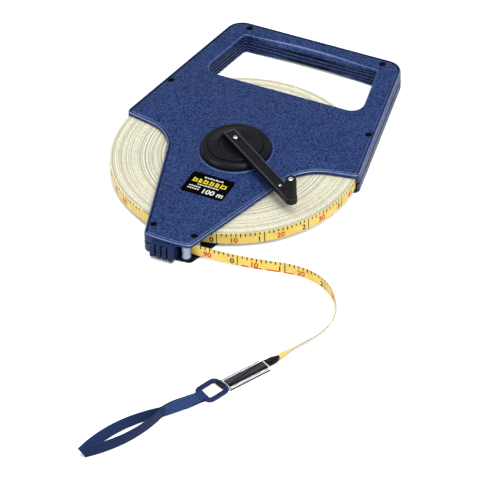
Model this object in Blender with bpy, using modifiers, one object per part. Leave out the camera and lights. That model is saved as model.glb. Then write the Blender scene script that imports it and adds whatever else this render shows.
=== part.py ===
"""Surveyor's open tape reel: 100 m of 12 mm tape in a two-part hand frame, with a geared crank.

The back of the frame lies on z = 0, the drum turns about the Z axis, the hand grip is towards +Y
and the nose with the tape mouth is towards -Y. Lengths are metres.
"""
import math

import bmesh
import bpy
from mathutils import Vector

MM = 0.001

# ---- Driving dimensions -------------------------------------------------------------------
GAP = 0.3 * MM                      # between pieces that touch or fit in each other
TAPE_WIDTH = 12.0 * MM
PACK_RADIUS = 117.5 * MM            # 100 m of tape wound on the core
CORE_RADIUS = 30.0 * MM
SIDE_GAP = 1.4 * MM                 # tape pack to cover, each side
PLATE = 3.2 * MM                    # thickness of a cover
WALL = 2.2 * MM                     # rim wall of a cover
EDGE = 0.9 * MM                     # chamfer along a cover's outer edge

HAND_CLEAR = 48.0 * MM              # tape pack to grip bar
GRIP_BAR = 19.5 * MM                # width of the grip bar
GRIP_HALF = 89.3 * MM               # half width of the frame at the grip end
HOLE_HALF_TOP = 70.5 * MM
HOLE_HALF_LOW = 83.0 * MM
HOLE_OVERLAP = 19.5 * MM            # how far the hand hole reaches over the pack
SHOULDER_MARGIN = 3.1 * MM          # widest half width beyond the pack
SHOULDER_RISE = 10.5 * MM           # shoulder above the drum axis
NOSE_LENGTH = 25.3 * MM             # nose corners beyond the pack
NOSE_HALF = 23.6 * MM
NOSE_CROWN = 1.6 * MM               # bulge of the nose's end
WAIST_X = 67.5 * MM                 # where shoulder and nose edges would meet
WAIST_Y = 0.5 * MM
WAIST_ROUND = 42.0 * MM

SCREW_POST = 3.9 * MM
SCREW_HOLE = 1.8 * MM
SCREW_HEAD = 2.3 * MM
SCREW_SHANK = 1.2 * MM
SCREW_SINK = 1.6 * MM               # depth of the head below the front face
GRIP_SCREW = (70.6 * MM, 11.0 * MM)     # x, and distance beyond the hand hole
SIDE_SCREW = (6.3 * MM, 8.0 * MM)      # in from the side edge, and beyond the pack
NOSE_SCREW = (20.6 * MM, 10.8 * MM)     # x, and distance beyond the pack

MODULE = 1.25 * MM
SUN_TEETH = 18
PLANET_TEETH = 9
RING_TEETH = 36
PRESSURE = math.radians(25.0)
ADDENDUM = 0.75                     # in modules
DEDENDUM = 1.0                      # in modules
BACKLASH = 0.24 * MM
PLANETS = 3
GEAR_WIDTH = 3.8 * MM
RING_WALL = 1.9 * MM

SHAFT_RADIUS = 4.0 * MM
BOSS_RADIUS = 9.0 * MM
BOSS_HEIGHT = 4.8 * MM
PIN_RADIUS = 1.5 * MM

BEZEL_WIDTH = 7.0 * MM
BEZEL_HEIGHT = 6.7 * MM
DISC_RADIUS = 26.1 * MM
DISC_LIP = 2.4 * MM                 # flange that the bezel holds down
DISC_HEIGHT = 8.2 * MM              # top of the crank disc above the front face
DISC_DISH = 0.9 * MM

ARM_ANGLE = math.radians(-34.3)
ARM_THROW = 101.5 * MM              # drum axis to knob axis
ARM_TAIL = 12.4 * MM
ARM_HALF = 5.8 * MM
ARM_HEIGHT = 6.0 * MM
ARM_WEB_SINK = 1.2 * MM
ARM_RIB = 1.6 * MM
RIVET_THROW = 82.0 * MM
CRANK_BORE = 2.3 * MM               # clearance hole of the crank screw
CRANK_SHANK = 2.0 * MM
WASHER_RADIUS = ARM_HALF - ARM_RIB - 0.4 * MM
CRANK_HEAD = WASHER_RADIUS - 0.6 * MM
CRANK_THREAD = 8.0 * MM             # the screw's reach into the shaft

KNOB_RADIUS = 5.2 * MM
KNOB_LENGTH = 20.8 * MM
KNOB_FLUTES = 12
KNOB_PIN = 1.5 * MM                 # radius of the pin that the knob turns on
KNOB_PIN_HEAD = 3.0 * MM
KNOB_DIMPLE = 1.6 * MM              # depth of the recess round the pin's head

ROLLER_RADIUS = 4.2 * MM
ROLLER_PIN = 1.1 * MM
GUIDE_RADIUS = 4.9 * MM
MOUTH_SLIT = 1.4 * MM               # between the two mouth rollers
LEAD_ROOM = 2.0 * MM                # half width of the tape's way through the nose
ROLLER_X = 17.3 * MM
MOUTH_REACH = 36.4 * MM             # how far the mouth's opening runs to the right of the nose
MOUTH_DEPTH = 48.8 * MM             # and back from the nose's end

FOOT_LEFT = 13.8 * MM
FOOT_RIGHT = 9.6 * MM
FOOT_PROUD = 7.4 * MM
FOOT_INNER = 6.5 * MM

LABEL = (42.6 * MM, 30.0 * MM)
LABEL_THICK = 0.5 * MM

TAPE_SOLID = 0.6 * MM               # solid thickness that stands for the 0.4 mm tape
LINK_WIDTH = 19.8 * MM
LINK_LENGTH = 24.3 * MM
LINK_BAR = 3.6 * MM
LINK_THICK = 3.0 * MM
STRAP_WIDTH = 11.0 * MM
STRAP_THICK = 1.1 * MM
SLEEVE_WIDTH = 8.9 * MM
FILM_WIDTH = 15.7 * MM
SLEEVE_LENGTH = 44.0 * MM
SLEEVE_TIP = 15.0 * MM
SLEEVE_THICK = 2.0 * MM

# ---- Derived heights and places -----------------------------------------------------------
THICK = TAPE_WIDTH + 2 * (SIDE_GAP + PLATE)
MID = THICK / 2
FLOOR_IN = PLATE                    # inner face of the back cover
CEIL_IN = THICK - PLATE             # inner face of the front cover
PACK_LOW = PLATE + SIDE_GAP
PACK_HIGH = PACK_LOW + TAPE_WIDTH
PACK_ROOM = PACK_RADIUS + 1.4 * MM
HOLE_TOP = PACK_RADIUS + HAND_CLEAR
GRIP_TOP = HOLE_TOP + GRIP_BAR
HOLE_LOW = PACK_RADIUS - HOLE_OVERLAP
SHOULDER = PACK_RADIUS + SHOULDER_MARGIN
NOSE_END = -(PACK_RADIUS + NOSE_LENGTH)

SUN_PITCH = MODULE * SUN_TEETH / 2
PLANET_PITCH = MODULE * PLANET_TEETH / 2
RING_PITCH = MODULE * RING_TEETH / 2
PLANET_THROW = SUN_PITCH + PLANET_PITCH
RING_OUTER = RING_PITCH + DEDENDUM * MODULE + RING_WALL
HUB_HOLE = RING_OUTER + GAP
GEAR_HIGH = THICK
GEAR_LOW = GEAR_HIGH - GEAR_WIDTH
LIP_RADIUS = DISC_RADIUS + DISC_LIP
BEZEL_INNER = DISC_RADIUS + GAP
BEZEL_OUTER = BEZEL_INNER + BEZEL_WIDTH
DISC_LOW = THICK + 0.4 * MM
LIP_HIGH = DISC_LOW + 2.2 * MM
DISC_TOP = THICK + DISC_HEIGHT
ARM_LOW = DISC_TOP + GAP
ARM_TOP = ARM_LOW + ARM_HEIGHT
WEB_TOP = ARM_TOP - ARM_WEB_SINK
KNOB_LOW = ARM_TOP + GAP
KNOB_TOP = KNOB_LOW + KNOB_LENGTH
GUIDE_X = NOSE_SCREW[0]
GUIDE_Y = -(PACK_RADIUS + NOSE_SCREW[1])
SLIT_Y = GUIDE_Y - GUIDE_RADIUS - MOUTH_SLIT / 2
ROLLER_Y = SLIT_Y - MOUTH_SLIT / 2 - ROLLER_RADIUS
KNOB_AXIS = (ARM_THROW * math.cos(ARM_ANGLE), ARM_THROW * math.sin(ARM_ANGLE))

SCREW_PLACES = [(side * GRIP_SCREW[0], HOLE_TOP + GRIP_SCREW[1]) for side in (-1, 1)]
side_start = Vector((SHOULDER, SHOULDER_RISE))
side_way = (Vector((GRIP_HALF, GRIP_TOP)) - side_start).normalized()
side_line = side_start + Vector((-side_way.y, side_way.x)) * SIDE_SCREW[0]
side_back = side_line.dot(side_way)
side_far = (PACK_RADIUS + SIDE_SCREW[1]) ** 2 - side_line.length_squared
side_spot = side_line + side_way * (math.sqrt(side_back ** 2 + side_far) - side_back)
SCREW_PLACES += [(side * side_spot.x, side_spot.y) for side in (-1, 1)]
SCREW_PLACES += [(side * GUIDE_X, GUIDE_Y) for side in (-1, 1)]

# Free tape on the ground: centre of the tape's width (mm), and its lean from upright (degrees).
TAPE_ROUTE = [
    (24.5, -133.6, 10.2, 0), (35.0, -132.6, 9.6, 0), (47.8, -131.2, 8.8, 0),
    (60.0, -129.2, 7.9, 0), (72.0, -126.8, 7.1, 0), (85.0, -123.9, 6.5, 0),
    (98.0, -120.9, 6.2, 0), (110.0, -118.7, 6.1, 0), (121.5, -118.0, 6.1, 0),
    (133.0, -119.3, 6.1, 0), (144.0, -122.8, 6.1, 0), (154.5, -129.0, 6.1, 0),
    (163.2, -137.6, 6.2, 4), (170.0, -148.6, 6.2, 9), (173.9, -160.5, 6.1, 19),
    (174.3, -172.0, 5.7, 31), (171.6, -183.5, 5.1, 39), (167.0, -194.5, 4.9, 43),
    (161.5, -205.0, 4.8, 45), (155.8, -215.2, 4.2, 52), (151.6, -222.8, 2.2, 74),
]
TAPE_POINTS = 48
SLEEVE_HEADING = math.radians(-118.0)
SLEEVE_START = (150.6 * MM, -224.6 * MM)
LINK_CENTRE = (116.3 * MM, -287.8 * MM)
LINK_HEADING = math.radians(-112.0)
STRAP_FORK = (90.2 * MM, -328.5 * MM)
STRAP_CREASE = (51.3 * MM, -403.4 * MM)
STRAP_BOW = 8.0 * MM
STRAP_STANDOFF = 2.0 * MM           # the strap's square end beyond the turned link


# ---- Scene helpers ------------------------------------------------------------------------
for leftover in list(bpy.data.objects):
    bpy.data.objects.remove(leftover, do_unlink=True)

parts = bpy.data.collections.new("surveyor_tape_reel")
cutters = bpy.data.collections.new("cutters")
bpy.context.scene.collection.children.link(parts)
bpy.context.scene.collection.children.link(cutters)


def make_material(name, colour, roughness, metallic=0.0):
    material = bpy.data.materials.new(name)
    material.use_nodes = True
    shader = material.node_tree.nodes["Principled BSDF"]
    shader.inputs["Base Color"].default_value = (*colour, 1.0)
    shader.inputs["Roughness"].default_value = roughness
    shader.inputs["Metallic"].default_value = metallic
    return material


BLUE = make_material("blue_abs", (0.028, 0.055, 0.24), 0.45)
BLACK = make_material("black_nylon", (0.012, 0.012, 0.013), 0.4)
GREY = make_material("grey_acetal", (0.45, 0.47, 0.52), 0.35)
CREAM = make_material("tape_edges", (0.75, 0.70, 0.55), 0.6)
YELLOW = make_material("yellow_tape", (0.85, 0.62, 0.10), 0.4)
STEEL = make_material("bright_steel", (0.62, 0.62, 0.62), 0.25, 1.0)
GEAR = make_material("gear_acetal", (0.80, 0.80, 0.76), 0.4)
PRINT = make_material("label_print", (0.015, 0.015, 0.015), 0.35)
CLEAR = make_material("clear_vinyl", (0.75, 0.78, 0.80), 0.15)
WEBBING = make_material("blue_webbing", (0.03, 0.06, 0.26), 0.8)


def place(obj, collection, material=None):
    for owner in list(obj.users_collection):
        owner.objects.unlink(obj)
    collection.objects.link(obj)
    if collection is cutters:
        obj.hide_render = True
        obj.display_type = "WIRE"
    if material is not None:
        obj.data.materials.clear()
        obj.data.materials.append(material)
    return obj


def mesh_object(name, builder, collection, material=None):
    mesh = bpy.data.meshes.new(name)
    work = bmesh.new()
    builder(work)
    bmesh.ops.recalc_face_normals(work, faces=work.faces)
    work.to_mesh(mesh)
    work.free()
    obj = bpy.data.objects.new(name, mesh)
    bpy.context.scene.collection.objects.link(obj)
    return place(obj, collection, material)


def cylinder(name, radius, low, high, spot=(0.0, 0.0), sides=32, collection=cutters, material=None):
    def build(work):
        bmesh.ops.create_cone(work, cap_ends=True, segments=sides,
                              radius1=radius, radius2=radius, depth=high - low)

    obj = mesh_object(name, build, collection, material)
    obj.location = (spot[0], spot[1], (low + high) / 2)
    smooth(obj)
    return obj


def box(name, low, high, collection=cutters, material=None):
    size = [high[axis] - low[axis] for axis in range(3)]

    def build(work):
        bmesh.ops.create_cube(work, size=1.0)
        bmesh.ops.scale(work, vec=size, verts=work.verts)

    obj = mesh_object(name, build, collection, material)
    obj.location = [(low[axis] + high[axis]) / 2 for axis in range(3)]
    return obj


def smooth(obj, angle=35.0):
    obj.data.shade_smooth()
    obj.data.set_sharp_from_angle(angle=math.radians(angle))


def welded_mesh(curve_object, collection, material):
    """Turn a curve object into a closed mesh object of the same name and place."""
    depsgraph = bpy.context.evaluated_depsgraph_get()
    depsgraph.update()
    mesh = bpy.data.meshes.new_from_object(curve_object.evaluated_get(depsgraph))
    work = bmesh.new()
    work.from_mesh(mesh)
    bmesh.ops.remove_doubles(work, verts=work.verts, dist=0.00001)
    bmesh.ops.recalc_face_normals(work, faces=work.faces)
    work.to_mesh(mesh)
    work.free()
    name = curve_object.name
    matrix = curve_object.matrix_world.copy()
    bpy.data.objects.remove(curve_object, do_unlink=True)
    obj = bpy.data.objects.new(name, mesh)
    obj.matrix_world = matrix
    bpy.context.scene.collection.objects.link(obj)
    return place(obj, collection, material)


def prism(name, outline, low, high, collection=cutters, material=None, hole=None):
    """A flat outline, with an optional hole, between two heights."""
    curve = bpy.data.curves.new(name, "CURVE")
    curve.dimensions = "2D"
    curve.fill_mode = "BOTH"
    curve.extrude = (high - low) / 2
    for loop in [outline] + ([hole] if hole else []):
        spline = curve.splines.new("POLY")
        spline.points.add(len(loop) - 1)
        for point, spot in zip(spline.points, loop):
            point.co = (spot[0], spot[1], 0.0, 1.0)
        spline.use_cyclic_u = True
    obj = bpy.data.objects.new(name, curve)
    obj.location = (0.0, 0.0, (low + high) / 2)
    bpy.context.scene.collection.objects.link(obj)
    bpy.context.view_layer.update()
    return welded_mesh(obj, collection, material)


def turned(name, profile, spot=(0.0, 0.0), sides=48, collection=parts, material=None):
    """A solid of revolution; the profile (radius, height) runs down its outer side."""
    mesh = bpy.data.meshes.new(name)
    work = bmesh.new()
    ring = [work.verts.new((radius, 0.0, height)) for radius, height in profile]
    closed = profile[0][0] > 0.0 and profile[-1][0] > 0.0
    for start, end in zip(ring, ring[1:]):
        work.edges.new((start, end))
    if closed:
        work.edges.new((ring[-1], ring[0]))
    work.to_mesh(mesh)
    work.free()
    obj = bpy.data.objects.new(name, mesh)
    obj.location = (spot[0], spot[1], 0.0)
    bpy.context.scene.collection.objects.link(obj)
    screw = obj.modifiers.new("turn", "SCREW")
    screw.axis = "Z"
    screw.steps = sides
    screw.render_steps = sides
    screw.use_merge_vertices = True
    screw.merge_threshold = 0.00001
    screw.use_smooth_shade = True
    return place(obj, collection, material)


def boolean(target, tool, operation="DIFFERENCE"):
    modifier = target.modifiers.new(operation.lower(), "BOOLEAN")
    modifier.operation = operation
    modifier.object = tool
    modifier.solver = "EXACT"


def pivot(name, spot):
    """An empty on a joint's axis, for the pieces that turn together."""
    empty = bpy.data.objects.new(name, None)
    empty.location = (spot[0], spot[1], 0.0)
    parts.objects.link(empty)
    return empty


def hang(obj, empty):
    """Parent a piece to an empty without moving it."""
    obj.parent = empty
    obj.matrix_parent_inverse.identity()
    obj.location = Vector(obj.location) - Vector(empty.location)


def rounded(corners, step=math.radians(16.0)):
    """A closed outline through (x, y, radius) corners, each rounded by an arc."""
    outline = []
    count = len(corners)
    for index, (x, y, radius) in enumerate(corners):
        corner = Vector((x, y))
        before = (Vector(corners[index - 1][:2]) - corner).normalized()
        after = (Vector(corners[(index + 1) % count][:2]) - corner).normalized()
        if radius <= 0.0:
            outline.append((x, y))
            continue
        half = before.angle(after) / 2
        centre = corner + (before + after).normalized() * radius / math.sin(half)
        start = corner + before * radius / math.tan(half) - centre
        end = corner + after * radius / math.tan(half) - centre
        first = math.atan2(start.y, start.x)
        sweep = math.atan2(end.y, end.x) - first
        sweep = (sweep + math.pi) % (2 * math.pi) - math.pi
        pieces = max(2, round(abs(sweep) / step))
        for piece in range(pieces + 1):
            angle = first + sweep * piece / pieces
            outline.append((centre.x + radius * math.cos(angle), centre.y + radius * math.sin(angle)))
    return outline


def inset(outline, distance):
    """Move a closed counterclockwise outline inwards (outwards if distance is negative)."""
    moved = []
    count = len(outline)
    for index in range(count):
        here = Vector(outline[index])
        before = (here - Vector(outline[index - 1])).normalized()
        after = (Vector(outline[(index + 1) % count]) - here).normalized()
        normal = Vector((-before.y - after.y, before.x + after.x)).normalized()
        stretch = max(0.5, normal.dot(Vector((-before.y, before.x))))
        spot = here + normal * distance / stretch
        moved.append((spot.x, spot.y))
    return moved


def mirrored(right_half):
    """Corners of a symmetric outline from its right half, listed from -Y to +Y."""
    return right_half + [(-x, y, radius) for x, y, radius in reversed(right_half)]


# ---- Outlines -----------------------------------------------------------------------------
FRAME_CORNERS = mirrored([
    (8.0 * MM, NOSE_END - NOSE_CROWN, 0.0),
    (NOSE_HALF, NOSE_END, 6.0 * MM),
    (WAIST_X, WAIST_Y, WAIST_ROUND),
    (SHOULDER, SHOULDER_RISE, 5.5 * MM),
    (GRIP_HALF, GRIP_TOP, 17.0 * MM),
])
HOLE_CORNERS = mirrored([
    (HOLE_HALF_LOW, HOLE_LOW, 12.0 * MM),
    (HOLE_HALF_TOP, HOLE_TOP, 4.0 * MM),
])
FRAME = rounded(FRAME_CORNERS)
HOLE = rounded(HOLE_CORNERS)


def circle(radius, sides, spot=(0.0, 0.0)):
    turns = [2 * math.pi * index / sides for index in range(sides)]
    return [(spot[0] + radius * math.cos(turn), spot[1] + radius * math.sin(turn)) for turn in turns]


# ---- Covers -------------------------------------------------------------------------------
def cover_blank(name, low, high, face_up):
    """Frame outline with the hand hole, chamfered along the outer face."""
    def build(work):
        outer_edge = EDGE if face_up else -EDGE
        outer = high if face_up else low
        inner = low if face_up else high
        levels = [(inner, 0.0), (outer - outer_edge, 0.0), (outer, EDGE)]
        frames = []
        holes = []
        for height, bite in levels:
            frames.append([work.verts.new((x, y, height)) for x, y in inset(FRAME, bite)])
            holes.append([work.verts.new((x, y, height)) for x, y in inset(HOLE, -bite)])
        for rings in (frames, holes):
            for upper, lower in zip(rings, rings[1:]):
                for index in range(len(upper)):
                    after = (index + 1) % len(upper)
                    work.faces.new((upper[index], upper[after], lower[after], lower[index]))
        for level in (0, -1):
            edges = []
            for ring in (frames[level], holes[level]):
                for index in range(len(ring)):
                    pair = (ring[index], ring[(index + 1) % len(ring)])
                    edges.append(work.edges.get(pair) or work.edges.new(pair))
            bmesh.ops.triangle_fill(work, use_beauty=True, use_dissolve=False, edges=edges)

    return mesh_object(name, build, parts, BLUE)


def pocket(name, low, high):
    """The hollow between a cover's plate and the joint, inside its rim walls."""
    hollow = prism(name, inset(FRAME, WALL), low, high)
    boolean(hollow, prism(name + "_hand_wall", inset(HOLE, -WALL), low - MM, high + MM))
    for index, spot in enumerate(SCREW_PLACES):
        radius = SCREW_POST
        post = cylinder(f"{name}_post_{index + 1}", radius, low - MM, high + MM, spot, 20)
        boolean(hollow, post)
    return hollow


def roller_sockets(target, name, low, high):
    """Blind holes for the mouth roller's pin."""
    hole = cylinder(name, ROLLER_PIN + GAP, low, high, (ROLLER_X, ROLLER_Y), 16)
    boolean(target, hole)


def tangent_point(spot, radius):
    """Where a line from spot touches the pack on its left."""
    distance = math.hypot(*spot)
    turn = math.atan2(spot[1], spot[0]) - math.acos(radius / distance)
    return (radius * math.cos(turn), radius * math.sin(turn))


slit = (GUIDE_X - MM, SLIT_Y)
lift_off = tangent_point(slit, PACK_RADIUS + TAPE_SOLID)
heading = (Vector(slit) - Vector(lift_off)).normalized()


def cut_lead_way(target, name, low, high):
    """A passage through the nose's wall for the tape on its way from the pack to the mouth."""
    run = Vector(slit) - Vector(lift_off)
    way = box(name, (0.0, -LEAD_ROOM, low), (run.length, LEAD_ROOM, high))
    way.location.x = (slit[0] + lift_off[0]) / 2
    way.location.y = (slit[1] + lift_off[1]) / 2
    way.rotation_euler.z = math.atan2(run.y, run.x)
    boolean(target, way)


MOUTH_LEFT = FOOT_RIGHT + GAP
mouth_low = (MOUTH_LEFT, NOSE_END - 10 * MM)
mouth_high = (NOSE_HALF + MOUTH_REACH, NOSE_END + MOUTH_DEPTH)


def cut_mouth(target, name, low, high):
    """Open the nose on its right side, around the post that carries the guide roller."""
    opening = box(name, (mouth_low[0], mouth_low[1], low), (mouth_high[0], mouth_high[1], high))
    keep = cylinder(name + "_post", SCREW_POST, low - MM, high + MM, SCREW_PLACES[-1], 20)
    boolean(opening, keep)
    boolean(target, opening)


def cut_foot_seat(target, name, low, high):
    seat = box(name, (-FOOT_LEFT - GAP, NOSE_END - 10 * MM, low),
               (MOUTH_LEFT + MM, NOSE_END + FOOT_INNER + GAP, high))
    boolean(target, seat)


back_cover = cover_blank("back_cover", 0.0, MID - GAP / 2, False)
back_pocket = pocket("back_pocket", FLOOR_IN, MID + MM)
boolean(back_cover, back_pocket)
boolean(back_cover, cylinder("back_pack_room", PACK_ROOM, FLOOR_IN, MID + MM, sides=72))
cut_mouth(back_cover, "back_mouth", FLOOR_IN, MID + MM)
cut_foot_seat(back_cover, "back_foot_seat", FLOOR_IN, MID + MM)
cut_lead_way(back_cover, "back_lead_way", FLOOR_IN, MID + MM)
boss = cylinder("back_boss", BOSS_RADIUS, FLOOR_IN - MM, FLOOR_IN + BOSS_HEIGHT, sides=32)
boolean(back_cover, boss, "UNION")
boolean(back_cover, cylinder("back_bearing_bore", SHAFT_RADIUS + GAP, PLATE,
                             FLOOR_IN + BOSS_HEIGHT + MM, sides=32))
roller_sockets(back_cover, "back_roller_socket", PLATE - 1.4 * MM, PLATE + MM)
for index, spot in enumerate(SCREW_PLACES):
    pilot = cylinder(f"pilot_{index + 1}", SCREW_SHANK + GAP, PLATE, MID + MM, spot, 14)
    boolean(back_cover, pilot)

front_cover = cover_blank("front_cover", MID + GAP / 2, THICK, True)
front_pocket = pocket("front_pocket", MID - MM, CEIL_IN)
boolean(front_cover, front_pocket)
boolean(front_cover, cylinder("front_pack_room", PACK_ROOM, MID - MM, CEIL_IN, sides=72))
cut_mouth(front_cover, "front_mouth", MID - MM, CEIL_IN)
cut_foot_seat(front_cover, "front_foot_seat", MID - MM, CEIL_IN)
cut_lead_way(front_cover, "front_lead_way", MID - MM, CEIL_IN)
collar = turned("bezel_collar", [(BEZEL_OUTER + 1.7 * MM, THICK + 0.7 * MM),
                                 (BEZEL_OUTER + 1.7 * MM, THICK - MM),
                                 (BEZEL_OUTER + GAP, THICK - MM),
                                 (BEZEL_OUTER + GAP, THICK + 0.7 * MM)],
                sides=40, collection=cutters)
boolean(front_cover, collar, "UNION")
boolean(front_cover, cylinder("hub_hole", HUB_HOLE, CEIL_IN - MM, THICK + MM, sides=40))
roller_sockets(front_cover, "front_roller_socket", CEIL_IN - MM, CEIL_IN + 1.4 * MM)
for index, spot in enumerate(SCREW_PLACES):
    passage = cylinder(f"passage_{index + 1}", SCREW_SHANK + GAP, MID - MM, THICK, spot, 14)
    recess = cylinder(f"recess_{index + 1}", SCREW_HEAD + GAP,
                      THICK - SCREW_SINK - SCREW_HOLE, THICK + MM, spot, 20)
    boolean(front_cover, passage)
    boolean(front_cover, recess)
LABEL_CENTRE_Y = -(BEZEL_OUTER + LABEL[1] / 2 + 10.6 * MM)


def label_outline(margin):
    half_x = LABEL[0] / 2 + margin
    half_y = LABEL[1] / 2 + margin
    centre = LABEL_CENTRE_Y
    return rounded([(half_x, centre - half_y, 3 * MM), (half_x, centre + half_y, 3 * MM),
                    (-half_x, centre + half_y, 3 * MM), (-half_x, centre - half_y, 3 * MM)],
                   math.radians(30))


boolean(front_cover, prism("label_recess", label_outline(GAP), THICK - LABEL_THICK - GAP, THICK + MM))

for index, spot in enumerate(SCREW_PLACES):
    head_top = THICK - SCREW_SINK
    head_low = head_top - SCREW_HOLE + GAP
    turned(f"frame_screw_{index + 1}",
           [(0.0, head_top), (SCREW_HEAD * 0.8, head_top), (SCREW_HEAD, head_top - 0.5 * MM),
            (SCREW_HEAD, head_low), (SCREW_SHANK, head_low), (SCREW_SHANK, PLATE + GAP),
            (0.0, PLATE + GAP)], spot, 12, parts, STEEL)

prism("label", label_outline(0.0), THICK - LABEL_THICK, THICK, parts, PRINT)


# ---- Nose: foot, rollers ------------------------------------------------------------------
def foot_outline():
    """Ribbed foot, its far side slanting back to the roller."""
    front = NOSE_END - NOSE_CROWN - FOOT_PROUD
    back = NOSE_END + FOOT_INNER
    ribs = 4
    pitch = (FOOT_LEFT + FOOT_RIGHT) / ribs
    outline = [(FOOT_RIGHT, back), (-FOOT_LEFT, back)]
    for rib in range(ribs):
        left = -FOOT_LEFT + rib * pitch
        if rib:
            outline += [(left - 0.7 * MM, front), (left - 0.7 * MM, front + 2.2 * MM)]
            outline += [(left + 0.7 * MM, front + 2.2 * MM), (left + 0.7 * MM, front)]
        else:
            outline += [(left, front + 1.5 * MM), (left + 1.5 * MM, front)]
    outline += [(FOOT_RIGHT - 1.2 * MM, front), (FOOT_RIGHT, front + 1.2 * MM)]
    return outline


prism("nose_foot", foot_outline(), FLOOR_IN + GAP, CEIL_IN - GAP, parts, BLUE)

roller_hub = pivot("mouth_roller_axis", (ROLLER_X, ROLLER_Y))
roller_profile = [
    (ROLLER_PIN + GAP, CEIL_IN - GAP), (ROLLER_RADIUS - 0.8 * MM, CEIL_IN - GAP),
    (ROLLER_RADIUS, CEIL_IN - 1.4 * MM), (ROLLER_RADIUS, FLOOR_IN + 1.4 * MM),
    (ROLLER_RADIUS - 0.8 * MM, FLOOR_IN + GAP), (ROLLER_PIN + GAP, FLOOR_IN + GAP)]
hang(turned("mouth_roller", roller_profile, (ROLLER_X, ROLLER_Y), 28, parts, GREY), roller_hub)
cylinder("roller_pin", ROLLER_PIN, PLATE - 1.4 * MM + GAP, CEIL_IN + 1.4 * MM - GAP,
         (ROLLER_X, ROLLER_Y), 16, parts, STEEL)

guide_hub = pivot("guide_roller_axis", (GUIDE_X, GUIDE_Y))
guide_profile = [
    (SCREW_POST + GAP, CEIL_IN - GAP), (GUIDE_RADIUS, CEIL_IN - GAP),
    (GUIDE_RADIUS, FLOOR_IN + GAP), (SCREW_POST + GAP, FLOOR_IN + GAP)]
hang(turned("guide_roller", guide_profile, (GUIDE_X, GUIDE_Y), 28, parts, GREY), guide_hub)


# ---- Drum and tape ------------------------------------------------------------------------
drum_hub = pivot("drum_axis", (0.0, 0.0))
bore = SHAFT_RADIUS + GAP
drum_low = PACK_LOW + 0.1 * MM
drum_high = PACK_HIGH - 0.1 * MM
boss_top = FLOOR_IN + BOSS_HEIGHT
drum = turned("drum", [
    (bore, drum_high), (SUN_PITCH, drum_high), (SUN_PITCH, boss_top + 4 * MM),
    (CORE_RADIUS - 3 * MM, boss_top + 4 * MM), (CORE_RADIUS - 3 * MM, drum_high),
    (CORE_RADIUS, drum_high), (CORE_RADIUS, drum_low), (CORE_RADIUS - 3 * MM, drum_low),
    (CORE_RADIUS - 3 * MM, boss_top + GAP + 0.7 * MM), (bore, boss_top + GAP + 0.7 * MM)],
    sides=36, material=GEAR)
hang(drum, drum_hub)
anchor_spot = (CORE_RADIUS - 1.5 * MM, 0.0)
slot = box("anchor_slot", (CORE_RADIUS - 2.5 * MM - GAP, -MM - GAP, drum_low - MM),
           (CORE_RADIUS + MM, MM + GAP, drum_high + MM))
boolean(drum, slot)
hang(cylinder("tape_anchor_pin", 1.0 * MM, drum_low, drum_high, anchor_spot, 12, parts, STEEL), drum_hub)

pack = turned("tape_pack", [
    (CORE_RADIUS + GAP, PACK_HIGH), (PACK_RADIUS - 0.4 * MM, PACK_HIGH), (PACK_RADIUS, PACK_HIGH - 0.2 * MM),
    (PACK_RADIUS, PACK_LOW + 0.2 * MM), (PACK_RADIUS - 0.4 * MM, PACK_LOW), (CORE_RADIUS + GAP, PACK_LOW)],
    sides=72, material=CREAM)
hang(pack, drum_hub)


# ---- Gears --------------------------------------------------------------------------------
def involute(angle):
    return math.tan(angle) - angle


def gear_outline(teeth, tip, root, thickness_change, tooth_at, spot=(0.0, 0.0)):
    """Involute outline; tooth_at is the direction of one tooth's middle."""
    pitch = MODULE * teeth / 2
    base = pitch * math.cos(PRESSURE)
    half_pitch = math.pi / (2 * teeth) + thickness_change / (2 * pitch)
    start = max(base, root)
    radii = [start + (tip - start) * share for share in (0.0, 0.5, 1.0)]
    flank = [(radius, half_pitch + involute(PRESSURE) - involute(math.acos(base / radius)))
             for radius in radii]
    if root < base:
        flank = [(root, flank[0][1])] + flank
    outline = []
    for tooth in range(teeth):
        middle = tooth_at + 2 * math.pi * tooth / teeth
        sides = [(radius, middle - half) for radius, half in flank]
        sides += [(radius, middle + half) for radius, half in reversed(flank)]
        outline += [(spot[0] + radius * math.cos(turn), spot[1] + radius * math.sin(turn))
                    for radius, turn in sides]
    return outline


def outer_gear(name, teeth, bore_radius, low, high, tooth_at, spot=(0.0, 0.0)):
    pitch = MODULE * teeth / 2
    outline = gear_outline(teeth, pitch + ADDENDUM * MODULE, pitch - DEDENDUM * MODULE,
                           -BACKLASH / 2, tooth_at)
    gear = prism(name, outline, low, high, parts, GEAR, circle(bore_radius, 24))
    gear.location.x = spot[0]
    gear.location.y = spot[1]
    return gear


sun_low = drum_high + GAP
hang(outer_gear("sun_gear", SUN_TEETH, bore, sun_low, GEAR_HIGH, 0.0), drum_hub)

ring_hole = gear_outline(RING_TEETH, RING_PITCH + DEDENDUM * MODULE,
                         RING_PITCH - ADDENDUM * MODULE, BACKLASH / 2, 0.0)
prism("ring_gear", circle(RING_OUTER, 40), GEAR_LOW, GEAR_HIGH, parts, GEAR, ring_hole)

crank_hub = pivot("crank_axis", (0.0, 0.0))
PIN_LOW = GEAR_LOW + GAP
PIN_HIGH = DISC_LOW + 3.6 * MM
planet_spots = []
for index in range(PLANETS):
    turn = 2 * math.pi * index / PLANETS
    spot = (PLANET_THROW * math.cos(turn), PLANET_THROW * math.sin(turn))
    planet_spots.append(spot)
    planet_hub = pivot(f"planet_axis_{index + 1}", spot)
    gear = outer_gear(f"planet_gear_{index + 1}", PLANET_TEETH, PIN_RADIUS + GAP,
                      GEAR_LOW, GEAR_HIGH, turn, spot)
    hang(gear, planet_hub)
    hang(cylinder(f"planet_pin_{index + 1}", PIN_RADIUS, PIN_LOW, PIN_HIGH, spot, 16, parts, STEEL),
         crank_hub)


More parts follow.
